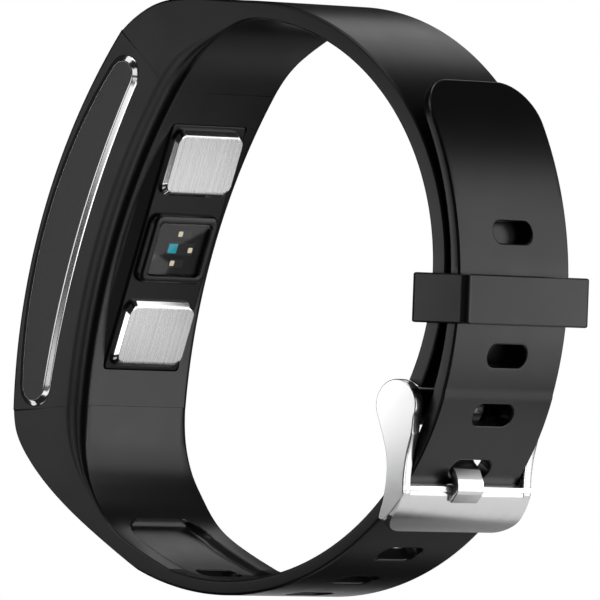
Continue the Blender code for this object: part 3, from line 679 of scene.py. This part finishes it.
def side_trim(side, sign):
    """A bright bezel with a chamfer towards the outside, and a matt plate set in it."""
    inner = -TRIM_CHAMFER - TRIM_LIP
    foot, top = HALF - TRIM_FOOT, HALF + TRIM_RISE
    layers = [(0.0, foot), (0.0, HALF)]
    layers += [(-TRIM_STEP - (TRIM_CHAMFER - TRIM_STEP) * u,
                HALF + TRIM_STEP + (TRIM_RISE - TRIM_STEP) * u) for u in spread(0.0, 1.0, 4)]
    layers += [(inner + 0.02, top), (inner, top - 0.03), (inner, foot)]
    bezel = make(f"trim_ring_{side}", trim_loft(layers, sign, capped=False), TRIM)
    place(bezel, "band", "bright_chrome", f"side_bezel_{side}", angle=35.0)
    face = top - 0.03
    layers = [(inner - 0.02, foot + 0.1), (inner - 0.02, face - 0.05), (inner - 0.05, face - 0.01),
              (inner - 0.1, face)]
    plate = make(f"trim_insert_{side}", trim_loft(layers, sign), INSERT)
    place(plate, "band", "insert_plastic", f"side_insert_{side}")


# ---- straps ----
def seam_starts(sign):
    """For a strap's outer and its inner line: its first point, and a case point ahead of it."""
    starts = []
    for seam_t, line in ((SEAM_FRONT_T, front_n), (SEAM_BACK_T, back_n)):
        before = seam_t - 5.0
        starts.append((case_point(sign * (seam_t + SEAM_GAP), line(seam_t)),
                       case_point(sign * before, line(before))))
    return starts


def run_in(start, points, centre, radius, angle, turn):
    """A smooth line from the seam through the points, onto a circle at an angle."""
    steps = 60
    first, before = start
    onto = [arc(centre, radius, a, a, 1)[0] for a in (angle, angle + turn)]
    return smooth([first, *points, *onto], steps, before)[:-steps]


def matched(outer_parts, inner_parts):
    """Both lines of a strap, and the distances at which the parts of each end, from 0."""
    marks = [[0.0] + [Line(*parts[:i + 1]).length for i in range(len(parts))]
             for parts in (outer_parts, inner_parts)]
    return (Line(*outer_parts), Line(*inner_parts), *marks)


def lower_lines():
    """Outer and inner line of the slot strap, and their matching distances."""
    outer_start, inner_start = seam_starts(-1)
    start, begin = math.radians(-112.0), math.radians(-104.0)
    inner_radius = LOWER_OUTER - LOWER_THICKNESS
    bend_out = run_in(outer_start, [(-30.2, -16.7), (-26.5, -20.75), (-20.7, -25.0)],
                      LOWER_CENTRE, LOWER_OUTER, start, 0.1)
    bend_out += arc(LOWER_CENTRE, LOWER_OUTER, start, begin, 60)
    bend_in = run_in(inner_start, [(-20.9, -17.2), (-19.4, -21.3), (-15.6, -25.9)],
                     LOWER_CENTRE, inner_radius, begin, 0.1)
    outer_arc = arc(LOWER_CENTRE, LOWER_OUTER, begin, TAIL_JOIN, 600)
    inner_arc = arc(LOWER_CENTRE, inner_radius, begin, TAIL_JOIN, 600)
    outer_tail = arc(TAIL_CENTRE, TAIL_OUTER, TAIL_JOIN, TAIL_END, 400)
    inner_tail = []
    for u in spread(0.0, 1.0, 400):
        radius = TAIL_OUTER - LOWER_THICKNESS * (1 - u) - TIP_THICKNESS * u
        inner_tail += arc(TAIL_CENTRE, radius, TAIL_JOIN + (TAIL_END - TAIL_JOIN) * u, 0.0, 1)[:1]
    return matched((bend_out, outer_arc, outer_tail), (bend_in, inner_arc, inner_tail))


FLAT_EDGE = STRAP_EDGE           # width of the rounded border in the flat layout
FLAT_THICKNESS = 1.2


def slot_loop(middle, steps=10):
    """A slot's outline in the flat layout and the directions into the material."""
    radius = SLOT_HEIGHT / 2
    reach = SLOT_WIDTH / 2 - radius
    points, normals = [], []
    for side, first in ((1, 0.0), (-1, math.pi)):
        points += arc((middle, side * reach), radius, first, first + math.pi, steps)
        normals += arc((0.0, 0.0), 1.0, first, first + math.pi, steps)
    return points, normals


def tip_loop(length):
    """The strap's outline in the flat layout; it starts before the seam, where it is cut off."""
    before = -3.0
    points, normals = [(before, -HALF)], [(0.0, 1.0)]
    for side, first in ((-1, -math.pi / 2), (1, 0.0)):
        centre = (length - TIP_CORNER, side * (HALF - TIP_CORNER))
        points += arc(centre, TIP_CORNER, first, first + math.pi / 2, 14)
        normals += arc((0.0, 0.0), -1.0, first, first + math.pi / 2, 14)
    return points + [(before, HALF)], normals + [(0.0, -1.0)]


def flat_plate(outline, holes, steps=5):
    """A flat plate with rounded rims: outline and holes are (points, normals, edge)."""
    mesh = bmesh.new()
    rims = []
    for points, normals, edge in [outline, *holes]:
        profile = [(share * edge, down * edge) for share, down in quarter(steps)]
        heights = profile[::-1] + [(offset, FLAT_THICKNESS - down) for offset, down in profile]
        rows = [[mesh.verts.new((s + a * offset, y + b * offset, height))
                 for (s, y), (a, b) in zip(points, normals)] for offset, height in heights]
        for row, following in zip(rows, rows[1:]):
            bridge(mesh, row, following)
        rims.append((rows[0], rows[-1]))
    for which, up in ((0, -1.0), (1, 1.0)):
        edges = []
        for rim in rims:
            row = rim[which]
            edges += [mesh.edges.get((row[i], row[(i + 1) % len(row)])) for i in range(len(row))]
        bmesh.ops.triangle_fill(mesh, edges=edges, use_beauty=True, use_dissolve=False,
                                normal=(0, 0, up))
    return mesh


def slice_flat(mesh, axis, values, keep=lambda face: True):
    """Cut the flat layout along lines across it, so that it can be bent smoothly."""
    normal = Vector((1, 0, 0)) if axis == 0 else Vector((0, 1, 0))
    for value in values:
        near = [f for f in mesh.faces if keep(f)
                and min(v.co[axis] for v in f.verts) < value < max(v.co[axis] for v in f.verts)]
        geometry = set(near)
        for f in near:
            geometry.update(f.edges)
            geometry.update(f.verts)
        bmesh.ops.bisect_plane(mesh, geom=list(geometry), plane_co=normal * value, plane_no=normal,
                               dist=1e-6)


def rounding(s):
    """The strap's rounding at a distance from the seam: across, below its outside, its inside."""
    u = ease(s / STRAP_FADE)
    return [at_case + (STRAP_EDGE - at_case) * u for at_case in (SIDE_ROUND, FRONT_ROUND, BACK_ROUND)]


def bend(mesh, outer, inner, outer_marks, inner_marks):
    """Move the flat layout's points onto the strap between its outer and inner line."""
    for vert in mesh.verts:
        s, y, h = vert.co
        side, front, back = rounding(s)
        if abs(y) > HALF - FLAT_EDGE:
            depth_in = (HALF - abs(y)) / FLAT_EDGE
            y = math.copysign(HALF - depth_in * side, y)
        else:
            y *= (HALF - side) / (HALF - FLAT_EDGE)
        ox, oz = outer.at(s)
        ix, iz = inner.at(np.interp(s, outer_marks, inner_marks))
        span = math.dist((ox, oz), (ix, iz))
        if h < FLAT_EDGE:
            d = h / FLAT_EDGE * front
        elif h > FLAT_THICKNESS - FLAT_EDGE:
            d = span - (FLAT_THICKNESS - h) / FLAT_EDGE * back
            d -= trough(s, y, outer_marks, inner_marks)
        else:
            middle = FLAT_THICKNESS - 2 * FLAT_EDGE
            d = front + (h - FLAT_EDGE) / middle * (span - front - back)
        share = d / span
        vert.co = world(ox + (ix - ox) * share, y, oz + (iz - oz) * share)


def trough(s, y, outer_marks, inner_marks):
    """How deep the oval scoop in the wrist side is at a point."""
    along = float(np.interp(s, outer_marks, inner_marks)) - TROUGH_START
    length = TROUGH_END - TROUGH_START
    if not 0.0 < along < length:
        return 0.0
    half = TROUGH_WIDTH / 2
    if along < TROUGH_CORNER:
        half += math.sqrt(TROUGH_CORNER ** 2 - (TROUGH_CORNER - along) ** 2) - TROUGH_CORNER
    fade = length * 0.55
    if along > length - fade:
        half *= math.sqrt(max(0.0, 1 - ((along - length + fade) / fade) ** 2))
    rim = min(half - abs(y), along)
    if rim <= 0:
        return 0.0
    floor = TROUGH_DEPTH * min(1.0, (length - along) / (0.8 * length))
    return floor * math.sin(min(1.0, rim / TROUGH_RIM) * math.pi / 2)


def strap_lower():
    """The slot strap: a flat plate with its slots, cut fine and bent to shape."""
    outer, inner, outer_marks, inner_marks = lower_lines()
    length = outer.length
    holes = [(*slot_loop(length - FIRST_SLOT - k * SLOT_PITCH), SLOT_EDGE) for k in range(SLOT_COUNT)]
    mesh = flat_plate((*tip_loop(length), FLAT_EDGE), holes)
    slice_flat(mesh, 0, NEAR_SEAM + spread(0.6, length - 0.4, int(length / 0.55)))
    everything = list(mesh.verts) + list(mesh.edges) + list(mesh.faces)
    bmesh.ops.bisect_plane(mesh, geom=everything, plane_co=(0, 0, 0), plane_no=(1, 0, 0), dist=1e-6,
                           clear_inner=True)
    bmesh.ops.holes_fill(mesh, edges=[e for e in mesh.edges if e.is_boundary], sides=0)
    low, high = (float(np.interp(s, inner_marks, outer_marks))
                 for s in (TROUGH_START - 0.5, TROUGH_END + 0.5))

    def by_trough(face):
        centre = face.calc_center_median()
        return centre.z > FLAT_THICKNESS - 0.01 and low < centre.x < high

    beside = TROUGH_WIDTH / 2 + 0.3
    slice_flat(mesh, 0, spread(low, high, int((high - low) / 0.22)), by_trough)
    slice_flat(mesh, 1, spread(-beside, beside, 60), by_trough)
    bend(mesh, outer, inner, outer_marks, inner_marks)
    bmesh.ops.recalc_face_normals(mesh, faces=mesh.faces)
    strap = make("slot_strap", mesh, STRAP)
    place(strap, "band", "strap_rubber", "strap_lower", angle=50.0)


def upper_lines():
    """The same for the buckle strap."""
    outer_start, inner_start = seam_starts(1)
    top = math.radians(88.0)
    stop = math.atan2(PIVOT[1] - UPPER_CENTRE[1], PIVOT[0] - UPPER_CENTRE[0])
    stop += (ARM_END - 0.2) / UPPER_INNER
    bend_out = run_in(outer_start, [(-13.3, 31.9), (-8.4, 32.75), (-2.6, 32.6)],
                      UPPER_CENTRE, UPPER_OUTER, top, -0.1)
    bend_in = run_in(inner_start, [(-7.2, 25.8), (-3.6, 28.5), (-0.6, 30.05)],
                     UPPER_CENTRE, UPPER_INNER, top, -0.1)
    outer_arc = arc(UPPER_CENTRE, UPPER_OUTER, top, stop, 600)
    inner_arc = arc(UPPER_CENTRE, UPPER_INNER, top, stop, 600)
    return matched((bend_out, outer_arc), (bend_in, inner_arc))


def strap_section(half, span, side, front, back, steps=6):
    """Section (y, depth) of a strap, with its four long edges rounded."""
    right = [(half - side * share, front * down) for share, down in quarter(steps)[::-1]]
    right += [(half - side * share, span - back * down) for share, down in quarter(steps)]
    left = [(-y, d) for y, d in reversed(right)]
    return [left[-1], (0.0, 0.0), *right, (0.0, span), *left[:-1]]


def strap_upper():
    """The buckle strap: a swept section, with a barrel for the spring bar at its end."""
    outer, inner, outer_marks, inner_marks = upper_lines()
    rings = []
    for s in [0.0] + NEAR_SEAM + spread(0.6, outer.length, 170):
        ox, oz = outer.at(s)
        ix, iz = inner.at(np.interp(s, outer_marks, inner_marks))
        span = math.dist((ox, oz), (ix, iz))
        dx, dz = (ix - ox) / span, (iz - oz) / span
        rings.append([world(ox + dx * d, y, oz + dz * d)
                      for y, d in strap_section(HALF, span, *rounding(s))])
    strap = make("buckle_strap", loft(rings), STRAP)
    barrel, notch_half = BARREL_WIDTH / 2, NOTCH_WIDTH / 2
    cut(strap, rod_rings(PIVOT, BARREL_RADIUS, -barrel, barrel, 0.35, 64), "UNION")
    cut(strap, rod_rings(PIVOT, BAR_BORE, -12.0, 12.0, 0.0, 40))
    notch = (PIVOT[0] - 0.2, PIVOT[1] - 0.4)
    cut(strap, rod_rings(notch, NOTCH_RADIUS, TONGUE_Y - notch_half, TONGUE_Y + notch_half, 0.0))
    place(strap, "band", "strap_rubber", "strap_upper", angle=45.0)


def rounded_ends(y0, y1, edge):
    """Layers (y, inset) of a solid along Y, with rounded end edges if edge is given."""
    if not edge:
        return [(y0, 0.0), (y1, 0.0)]
    profile = quarter(4)
    return ([(y0 + edge * down, edge * share) for share, down in reversed(profile)]
            + [(y1 - edge * down, edge * share) for share, down in profile])


def rod_rings(centre, radius, y0, y1, edge, sides=48):
    """A round rod along Y."""
    last = 2 * math.pi * (sides - 1) / sides
    return loft([[world(x, y, z) for x, z in arc(centre, radius - inset, 0.0, last, sides - 1)]
                 for y, inset in rounded_ends(y0, y1, edge)])


# ---- keeper ----
def keeper_outline(wall_in, wall_out, side, radius):
    """Rounded rectangle (x, y): the keeper's outline less a wall on each side."""
    x0, x1 = KEEPER_X[0] + wall_in, KEEPER_X[1] - wall_out
    return [((x0 + x1) / 2 + x, y)
            for x, y in rounded_rect(x1 - x0, KEEPER_WIDTH - 2 * side, radius, 10)]


def keeper():
    """A square loop with rounded rims: a closed chain of outlines, outside and inside."""
    half, edge = KEEPER_HEIGHT / 2, KEEPER_EDGE
    profile = quarter(4)
    walls = (KEEPER_WALL_IN, KEEPER_WALL_OUT, KEEPER_SIDE)
    upper = [(half - edge * down, (edge * share,) * 3, KEEPER_CORNER) for share, down in profile]
    upper += [(half - edge * down, tuple(w - edge * share for w in walls), KEEPER_INNER_CORNER)
              for share, down in reversed(profile)]
    lower = [(-z, inset, corner) for z, inset, corner in reversed(upper)]
    mesh = bmesh.new()
    rows = [[mesh.verts.new(world(x, y, KEEPER_Z + z)) for x, y in keeper_outline(*inset, corner)]
            for z, inset, corner in upper + lower]
    for row, following in zip(rows, rows[1:] + rows[:1]):
        bridge(mesh, row, following)
    bmesh.ops.recalc_face_normals(mesh, faces=mesh.faces)
    loop = make("keeper_sleeve", mesh, KEEPER)
    place(loop, "keeper", "strap_rubber", "keeper_loop", angle=50.0)


# ---- buckle ----
def offset_outline(points, inset):
    """A closed outline moved inwards by inset; the points run anticlockwise."""
    moved = []
    for before, p, after in zip(points[-1:] + points, points, points[1:] + points[:1]):
        along = (Vector(after) - Vector(before)).normalized()
        moved.append((p[0] - along.y * inset, p[1] + along.x * inset))
    return moved


def rounded_prism(outline, y0, y1, edge):
    """An outline in X and Z extruded along Y, with its edges rounded."""
    return loft([[world(x, y, z) for x, z in offset_outline(outline, inset)]
                 for y, inset in rounded_ends(y0, y1, edge)])


def arm_outline():
    """Side view of a buckle arm: a round end about the bar, a waist, and a foot on the plate."""
    left = smooth([(23.2, -14.0), (23.85, -16.2), (23.95, -18.7), (23.6, -20.9), (23.05, -22.9)], 10)
    right = smooth([(26.44, -20.2), (26.42, -19.5), (26.45, -18.2), (26.7, -16.2), (27.35, -13.6)], 10)
    top = arc(PIVOT, ARM_END, math.radians(-25.0), math.radians(200.0), 45)
    foot = smooth([(23.05, -22.9), (23.3, -23.2), (23.75, -23.25), (24.3, -22.9), (25.3, -21.9),
                   (26.1, -20.9), (26.44, -20.2)], 6)
    return thinned(top + left + foot[1:-1] + right, 0.02)


def buckle_plate():
    """The front bar: a narrow ridge facet, a fine groove and a bowed plate with round corners."""
    half = BUCKLE_WIDTH / 2 - 0.03
    ridge = [(25.55, -18.95), (26.1, -19.12), (26.35, -19.3), (26.46, -19.48), (26.46, -19.92),
             (26.43, -19.97), (26.33, -20.02), (26.37, -20.1)]
    bow = arc_through((26.4, -20.16), (23.5, -24.4), 0.42, 24)
    corner_y, corner_w = PLATE_CORNER
    line = Line(ridge, bow)
    inner_line = Line([(25.5, -19.2), (25.3, -19.75)],
                      arc_through((25.15, -20.05), (22.85, -24.0), 0.35, 24))
    fixed = [d for d in line.table if d <= Line(ridge).length + 0.01]
    near = [-half] + [corner_y * (1 - math.cos(a)) - half for a in spread(0.12, math.pi / 2, 14)]
    rings = []
    for y in near + [-y for y in reversed(near)]:
        beyond = max(0.0, (abs(y) - half + corner_y) / corner_y)
        end = line.length - corner_w * (1 - math.sqrt(max(0.0, 1 - beyond ** 2)))
        along = fixed + spread(fixed[-1], end, 24)[1:]
        outer = [line.at(d) for d in along]
        inner = [inner_line.at(d / line.length * inner_line.length) for d in along]
        rings.append([world(x, y, z) for x, z in outer + list(reversed(inner))])
    return loft(rings)


def arc_through(first, last, bulge, count):
    """An arc from first to last that stands off its chord by bulge, on the left of the way."""
    a, b = Vector(first), Vector(last)
    chord = b - a
    half = chord.length / 2
    radius = (half ** 2 + bulge ** 2) / (2 * bulge)
    side = Vector((-chord.y, chord.x)).normalized()
    middle = (a + b) / 2 + side * (bulge - radius)
    start = math.atan2(a.y - middle.y, a.x - middle.x)
    sweep = -2 * math.asin(half / radius)
    return arc(middle, radius, start, start + sweep, count)


def buckle_frame():
    half = BUCKLE_WIDTH / 2
    near, far = (rounded_prism(arm_outline(), y, y + ARM_THICKNESS, ARM_EDGE)
                 for y in (-half, half - ARM_THICKNESS))
    frame_piece = make("buckle_chrome", near, CHROME)
    cut(frame_piece, far, "UNION")
    cut(frame_piece, buckle_plate(), "UNION")
    place(frame_piece, "buckle", "bright_chrome", "buckle_frame", angle=32.0)


def strip(middle, y0, y1, thickness, edge):
    """A flat strip that follows a line in X and Z, with rounded long edges."""
    half = thickness / 2
    profile = quarter(3)
    section = []
    for y, inward, up in ((y0, 1, 1), (y1, -1, 1), (y1, -1, -1), (y0, 1, -1)):
        corner = [(y + inward * edge * share, up * (half - edge * down)) for share, down in profile]
        section += corner if inward == up else corner[::-1]
    points = [Vector(p) for p in middle]
    rings = []
    for i, p in enumerate(points):
        along = (points[min(i + 1, len(points) - 1)] - points[max(i - 1, 0)]).normalized()
        side = Vector((-along.y, along.x))
        if i in (0, len(points) - 1):
            side *= 1 - 0.7 * edge
        rings.append([world(p.x + side.x * h, y, p.y + side.y * h) for y, h in section])
    return loft(rings)


def buckle_tongue():
    """A flat tongue with an eye round the bar; it dips under the strap and hooks over the plate."""
    y0, y1 = TONGUE_Y - TONGUE_WIDTH / 2, TONGUE_Y + TONGUE_WIDTH / 2
    tongue = make("buckle_prong", rod_rings(PIVOT, TONGUE_EYE, y0, y1, 0.15), CHROME)
    line = smooth([(25.5, -12.2), (25.15, -14.6), (25.15, -16.3)], 8)
    line += smooth([(25.6, -17.0), (26.2, -17.55)], 4) + round_corners(
        [(26.35, -17.72), (26.93, -18.95), (26.97, -19.8), (26.1, -20.95)], 0.3, 5)
    cut(tongue, strip(line, y0, y1, TONGUE_THICKNESS, 0.12), "UNION")
    cut(tongue, rod_rings(PIVOT, BAR_BORE, y0 - 1.0, y1 + 1.0, 0.0))
    place(tongue, "tongue", "bright_chrome", "buckle_tongue", angle=32.0)


def round_corners(points, radius, steps):
    """A polyline whose inner corners are rounded."""
    line = [points[0]]
    for before, corner, after in zip(points, points[1:], points[2:]):
        c = Vector(corner)
        a = (Vector(before) - c).normalized() * radius
        b = (Vector(after) - c).normalized() * radius
        for u in spread(0.0, 1.0, steps):
            p = (c + a) * (1 - u) ** 2 + c * 2 * u * (1 - u) + (c + b) * u ** 2
            line.append(tuple(p))
    return line + [points[-1]]


def spring_bar():
    reach = BUCKLE_WIDTH / 2 - ARM_THICKNESS - 0.9
    tube = make("bar_tube", rod_rings(PIVOT, TUBE_RADIUS, -reach, reach, 0.12), STEEL)
    cut(tube, rod_rings(PIVOT, TIP_RADIUS + 0.15, -reach - 1.0, reach + 1.0, 0.0))
    place(tube, "bar_tube", "spring_steel", "spring_bar")
    for side, sign in (("near", -1), ("far", 1)):
        y0, y1 = sorted((sign * 6.2, sign * (BUCKLE_WIDTH / 2 - 0.6)))
        tip = make(f"bar_pin_{side}", rod_rings(PIVOT, TIP_RADIUS, y0, y1, 0.12, 32), STEEL)
        place(tip, f"bar_tip_{side}", "spring_steel", f"spring_bar_tip_{side}")


# ---- sensor packages ----
def optics():
    """Packages under the sensor glass: each holds an emitter, and the middle one the diode too."""
    for name, t, y, length, width in (("upper", 1.72, 0.55, 0.95, 2.3),
                                      ("middle", 0.0, 0.4, 1.45, 4.6),
                                      ("lower", -1.68, 0.45, 0.95, 2.3)):
        body = box_tile(f"optics_body_{name}", PACKAGE, t, y, BOARD_TOP - 0.1, PACKAGE_TOP,
                        length, width)
        place(body, "band", "package_plastic", f"optical_package_{name}")
    for name, t, y in (("upper", 1.72, -0.13), ("middle", -0.12, 2.2), ("lower", -1.68, -0.23)):
        # The LEDs glow with painted light from their material's emission.
        painted_glow_led = box_tile(f"optics_lamp_{name}", LED_PAINTED_GLOW, t, y, BOARD_TOP, LAMP_TOP, 0.6, 0.72, radius=0.12)
        place(painted_glow_led, "band", "led_lens", f"led_{name}")
    # The diode glows with painted light from its material's emission.
    diode = box_tile("optics_diode", DIODE_PAINTED_GLOW, 0.02, -0.8, BOARD_TOP, LAMP_TOP, 1.1, 1.45)
    place(diode, "band", "diode_die", "photodiode")
    board = box_tile("optics_board", SOLDER_MASK, 0.0, 0.0, -1.2, BOARD_TOP, 5.9, 8.4, 0.05, 0.3)
    place(board, "band", "circuit_board", "sensor_board")


# ---- inner pieces that stay as they are in the frame ----
def finish_inner():
    finishes = {"lens_gasket": GASKET, "display_panel": GLASS, "display_flex": FLEX,
                "main_board": BOARD, "processor_chip": PACKAGE, "battery": BATTERY}
    for name in ("motor_body", "motor_weight", "electrode_spring_upper", "electrode_spring_lower",
                 "strap_pin_upper", "strap_pin_lower", "spring_bar_coil"):
        finishes[name] = STEEL
    for name, finish in finishes.items():
        data = frame["nodes"][name].data
        data.materials.clear()
        data.materials.append(finish)
        data.shade_smooth()
        data.set_sharp_from_angle(angle=math.radians(35.0))


# ---- stage ----
VIEW_AZIMUTH = math.radians(40.0)
VIEW_ROLL = math.radians(2.1)
VIEW_SHIFT = (0.00044, -0.0001)  # metres, as are the next width and the floor
VIEW_WIDTH = 0.0656
VIEW_LENS = 900.0
FLOOR_HALF = 0.045
AMBIENT = 0.015
FAR = 0.5                        # how far the large lamps stand off, metres


def look_from(azimuth, roll, centre_shift, width, lens):
    """Camera level with the band, turned round +Z and rolled a little."""
    level = Vector((math.cos(azimuth), math.sin(azimuth), 0.0))
    back = Vector((math.sin(azimuth), -math.cos(azimuth), 0.0))
    right = level * math.cos(roll) + Vector((0.0, 0.0, math.sin(roll)))
    up = -level * math.sin(roll) + Vector((0.0, 0.0, math.cos(roll)))
    data = bpy.data.cameras.new("camera")
    data.lens = lens
    data.sensor_width = 36.0
    distance = width * lens / data.sensor_width
    data.clip_start = distance * 0.2
    data.clip_end = distance * 10
    made = add("camera", data)
    target = right * centre_shift[0] + up * centre_shift[1]
    turn = Matrix((right, up, back)).transposed().to_4x4()
    made.matrix_world = Matrix.Translation(target + back * distance) @ turn
    bpy.context.scene.camera = made


def card(name, direction, distance, size, power, aim=(0.0, 0.0, 0.0), shift=(0.0, 0.0), turn=0.0):
    """A rectangular lamp facing aim: direction is (azimuth, elevation) in degrees, shift is
    across and up."""
    azimuth, elevation = (math.radians(a) for a in direction)
    back = Vector((math.sin(azimuth) * math.cos(elevation), -math.cos(azimuth) * math.cos(elevation),
                   math.sin(elevation)))
    across = Vector((-back.y, back.x, 0.0)).normalized()
    up = back.cross(across)
    place_at = Vector(aim) + back * distance + across * shift[0] + up * shift[1]
    data = bpy.data.lights.new(name, "AREA")
    data.shape = "RECTANGLE"
    data.size, data.size_y = size
    data.energy = power
    made = add(name, data)
    facing = Matrix((across, up, back)).transposed().to_4x4()
    facing @= Matrix.Rotation(math.radians(turn), 4, "Z")
    made.matrix_world = Matrix.Translation(place_at) @ facing
    made.visible_camera = False


def cleared(owner):
    owner.use_nodes = True
    owner.node_tree.nodes.clear()
    return owner.node_tree.nodes


def camera_sees(tree, seen, other, output):
    """One shader for the camera's own rays, another for every other ray."""
    mix = tree.nodes.new("ShaderNodeMixShader")
    rays = tree.nodes.new("ShaderNodeLightPath")
    out = tree.nodes.new(output)
    tree.links.new(rays.outputs["Is Camera Ray"], mix.inputs["Fac"])
    tree.links.new(other.outputs[0], mix.inputs[1])
    tree.links.new(seen.outputs[0], mix.inputs[2])
    tree.links.new(mix.outputs[0], out.inputs["Surface"])


def stage():
    """A white floor that lamps below shine through, and a dim studio behind a white backdrop."""
    floor_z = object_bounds()[0].z - 0.1 * MM
    mesh = bmesh.new()
    mesh.faces.new([mesh.verts.new((x * FLOOR_HALF, y * FLOOR_HALF, floor_z))
                    for x, y in ((-1, -1), (1, -1), (1, 1), (-1, 1))])
    white = bpy.data.materials.new("floor_white")
    nodes = cleared(white)
    camera_sees(white.node_tree, nodes.new("ShaderNodeEmission"),
                nodes.new("ShaderNodeBsdfTransparent"), "ShaderNodeOutputMaterial")
    make("floor", mesh, white)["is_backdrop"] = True

    studio = bpy.data.worlds.new("studio")
    bpy.context.scene.world = studio
    nodes = cleared(studio)
    backgrounds = []
    for strength in (1.0, AMBIENT):
        background = nodes.new("ShaderNodeBackground")
        background.inputs["Color"].default_value = (1.0, 1.0, 1.0, 1.0)
        background.inputs["Strength"].default_value = strength
        backgrounds.append(background)
    camera_sees(studio.node_tree, *backgrounds, "ShaderNodeOutputWorld")


case_housing()
display_lens()
back_plate()
electrode("upper", 1)
electrode("lower", -1)
sensor()
side_trim("near", -1)
side_trim("far", 1)
strap_upper()
strap_lower()
keeper()
buckle_frame()
buckle_tongue()
spring_bar()
optics()
finish_inner()

bpy.context.scene.view_settings.view_transform = "Standard"
look_from(VIEW_AZIMUTH, VIEW_ROLL, VIEW_SHIFT, VIEW_WIDTH, VIEW_LENS)
stage()
card("right_side", (112.0, 2.0), FAR, (0.22, 0.35), 0.7)
card("right_back", (140.0, 3.0), FAR, (0.15, 0.4), 0.3)
card("back_high", (-158.0, 34.0), FAR, (0.16, 0.1), 0.06)
card("back_low", (-176.0, -36.0), FAR, (0.2, 0.1), 0.022)
card("back_side", (-143.0, -14.0), FAR, (0.12, 0.08), 0.03)
card("top_near", (0.0, 62.0), FAR, (0.2, 0.2), 0.3)
card("top_back", (180.0, 68.0), FAR, (0.25, 0.16), 0.25)
card("top_front", (-30.0, 48.0), FAR, (0.2, 0.2), 0.14)
card("low_front", (12.0, -22.0), FAR, (0.3, 0.07), 0.08)
card("low_strip", (15.0, -9.8), FAR, (0.1, 0.036), 0.011)
card("left_card", (-45.0, 2.0), 0.25, (0.07, 0.1), 0.026)
card("bottom", (180.0, -78.0), FAR, (0.25, 0.25), 0.15)
card("bottom_front", (0.0, -60.0), FAR, (0.3, 0.15), 0.07)

pad = case_world(0.0, 0.8, 0.0)
card("pad_upper", (146.0, -22.2), 0.06, (0.012, 0.018), 0.0004, pad, (-0.0052, 0.0048), -30.0)
card("pad_lower", (146.0, -22.2), 0.06, (0.016, 0.008), 0.00015, pad, (0.002, -0.0095))
card("pad_edge", (17.0, -17.5), 0.04, (0.005, 0.034), 0.0007, case_world(0.0, 0.5, -5.6), (0.0, 0.003))
card("pad_top", (145.0, 21.0), 0.06, (0.012, 0.02), 0.001, pad)
trim_low = case_world(-18.5, -8.3, -HALF)
trim_high = case_world(18.0, -8.3, -HALF)
card("trim_low", (-55.0, -38.0), 0.06, (0.02, 0.02), 0.0012, trim_low)
card("trim_high", (13.0, 8.0), 0.06, (0.02, 0.024), 0.0015, trim_high)
arm = world(24.9, -BUCKLE_WIDTH / 2, -12.0)
card("arm_card", (-40.0, 0.0), 0.09, (0.03, 0.036), 0.0034, arm, (0.0, 0.0125))
plate = world(25.5, 0.0, -21.5)
card("plate_card", (150.0, -26.0), 0.08, (0.055, 0.04), 0.0048, plate)
card("tongue_card", (146.0, 23.0), 0.05, (0.02, 0.02), 0.0006, plate)
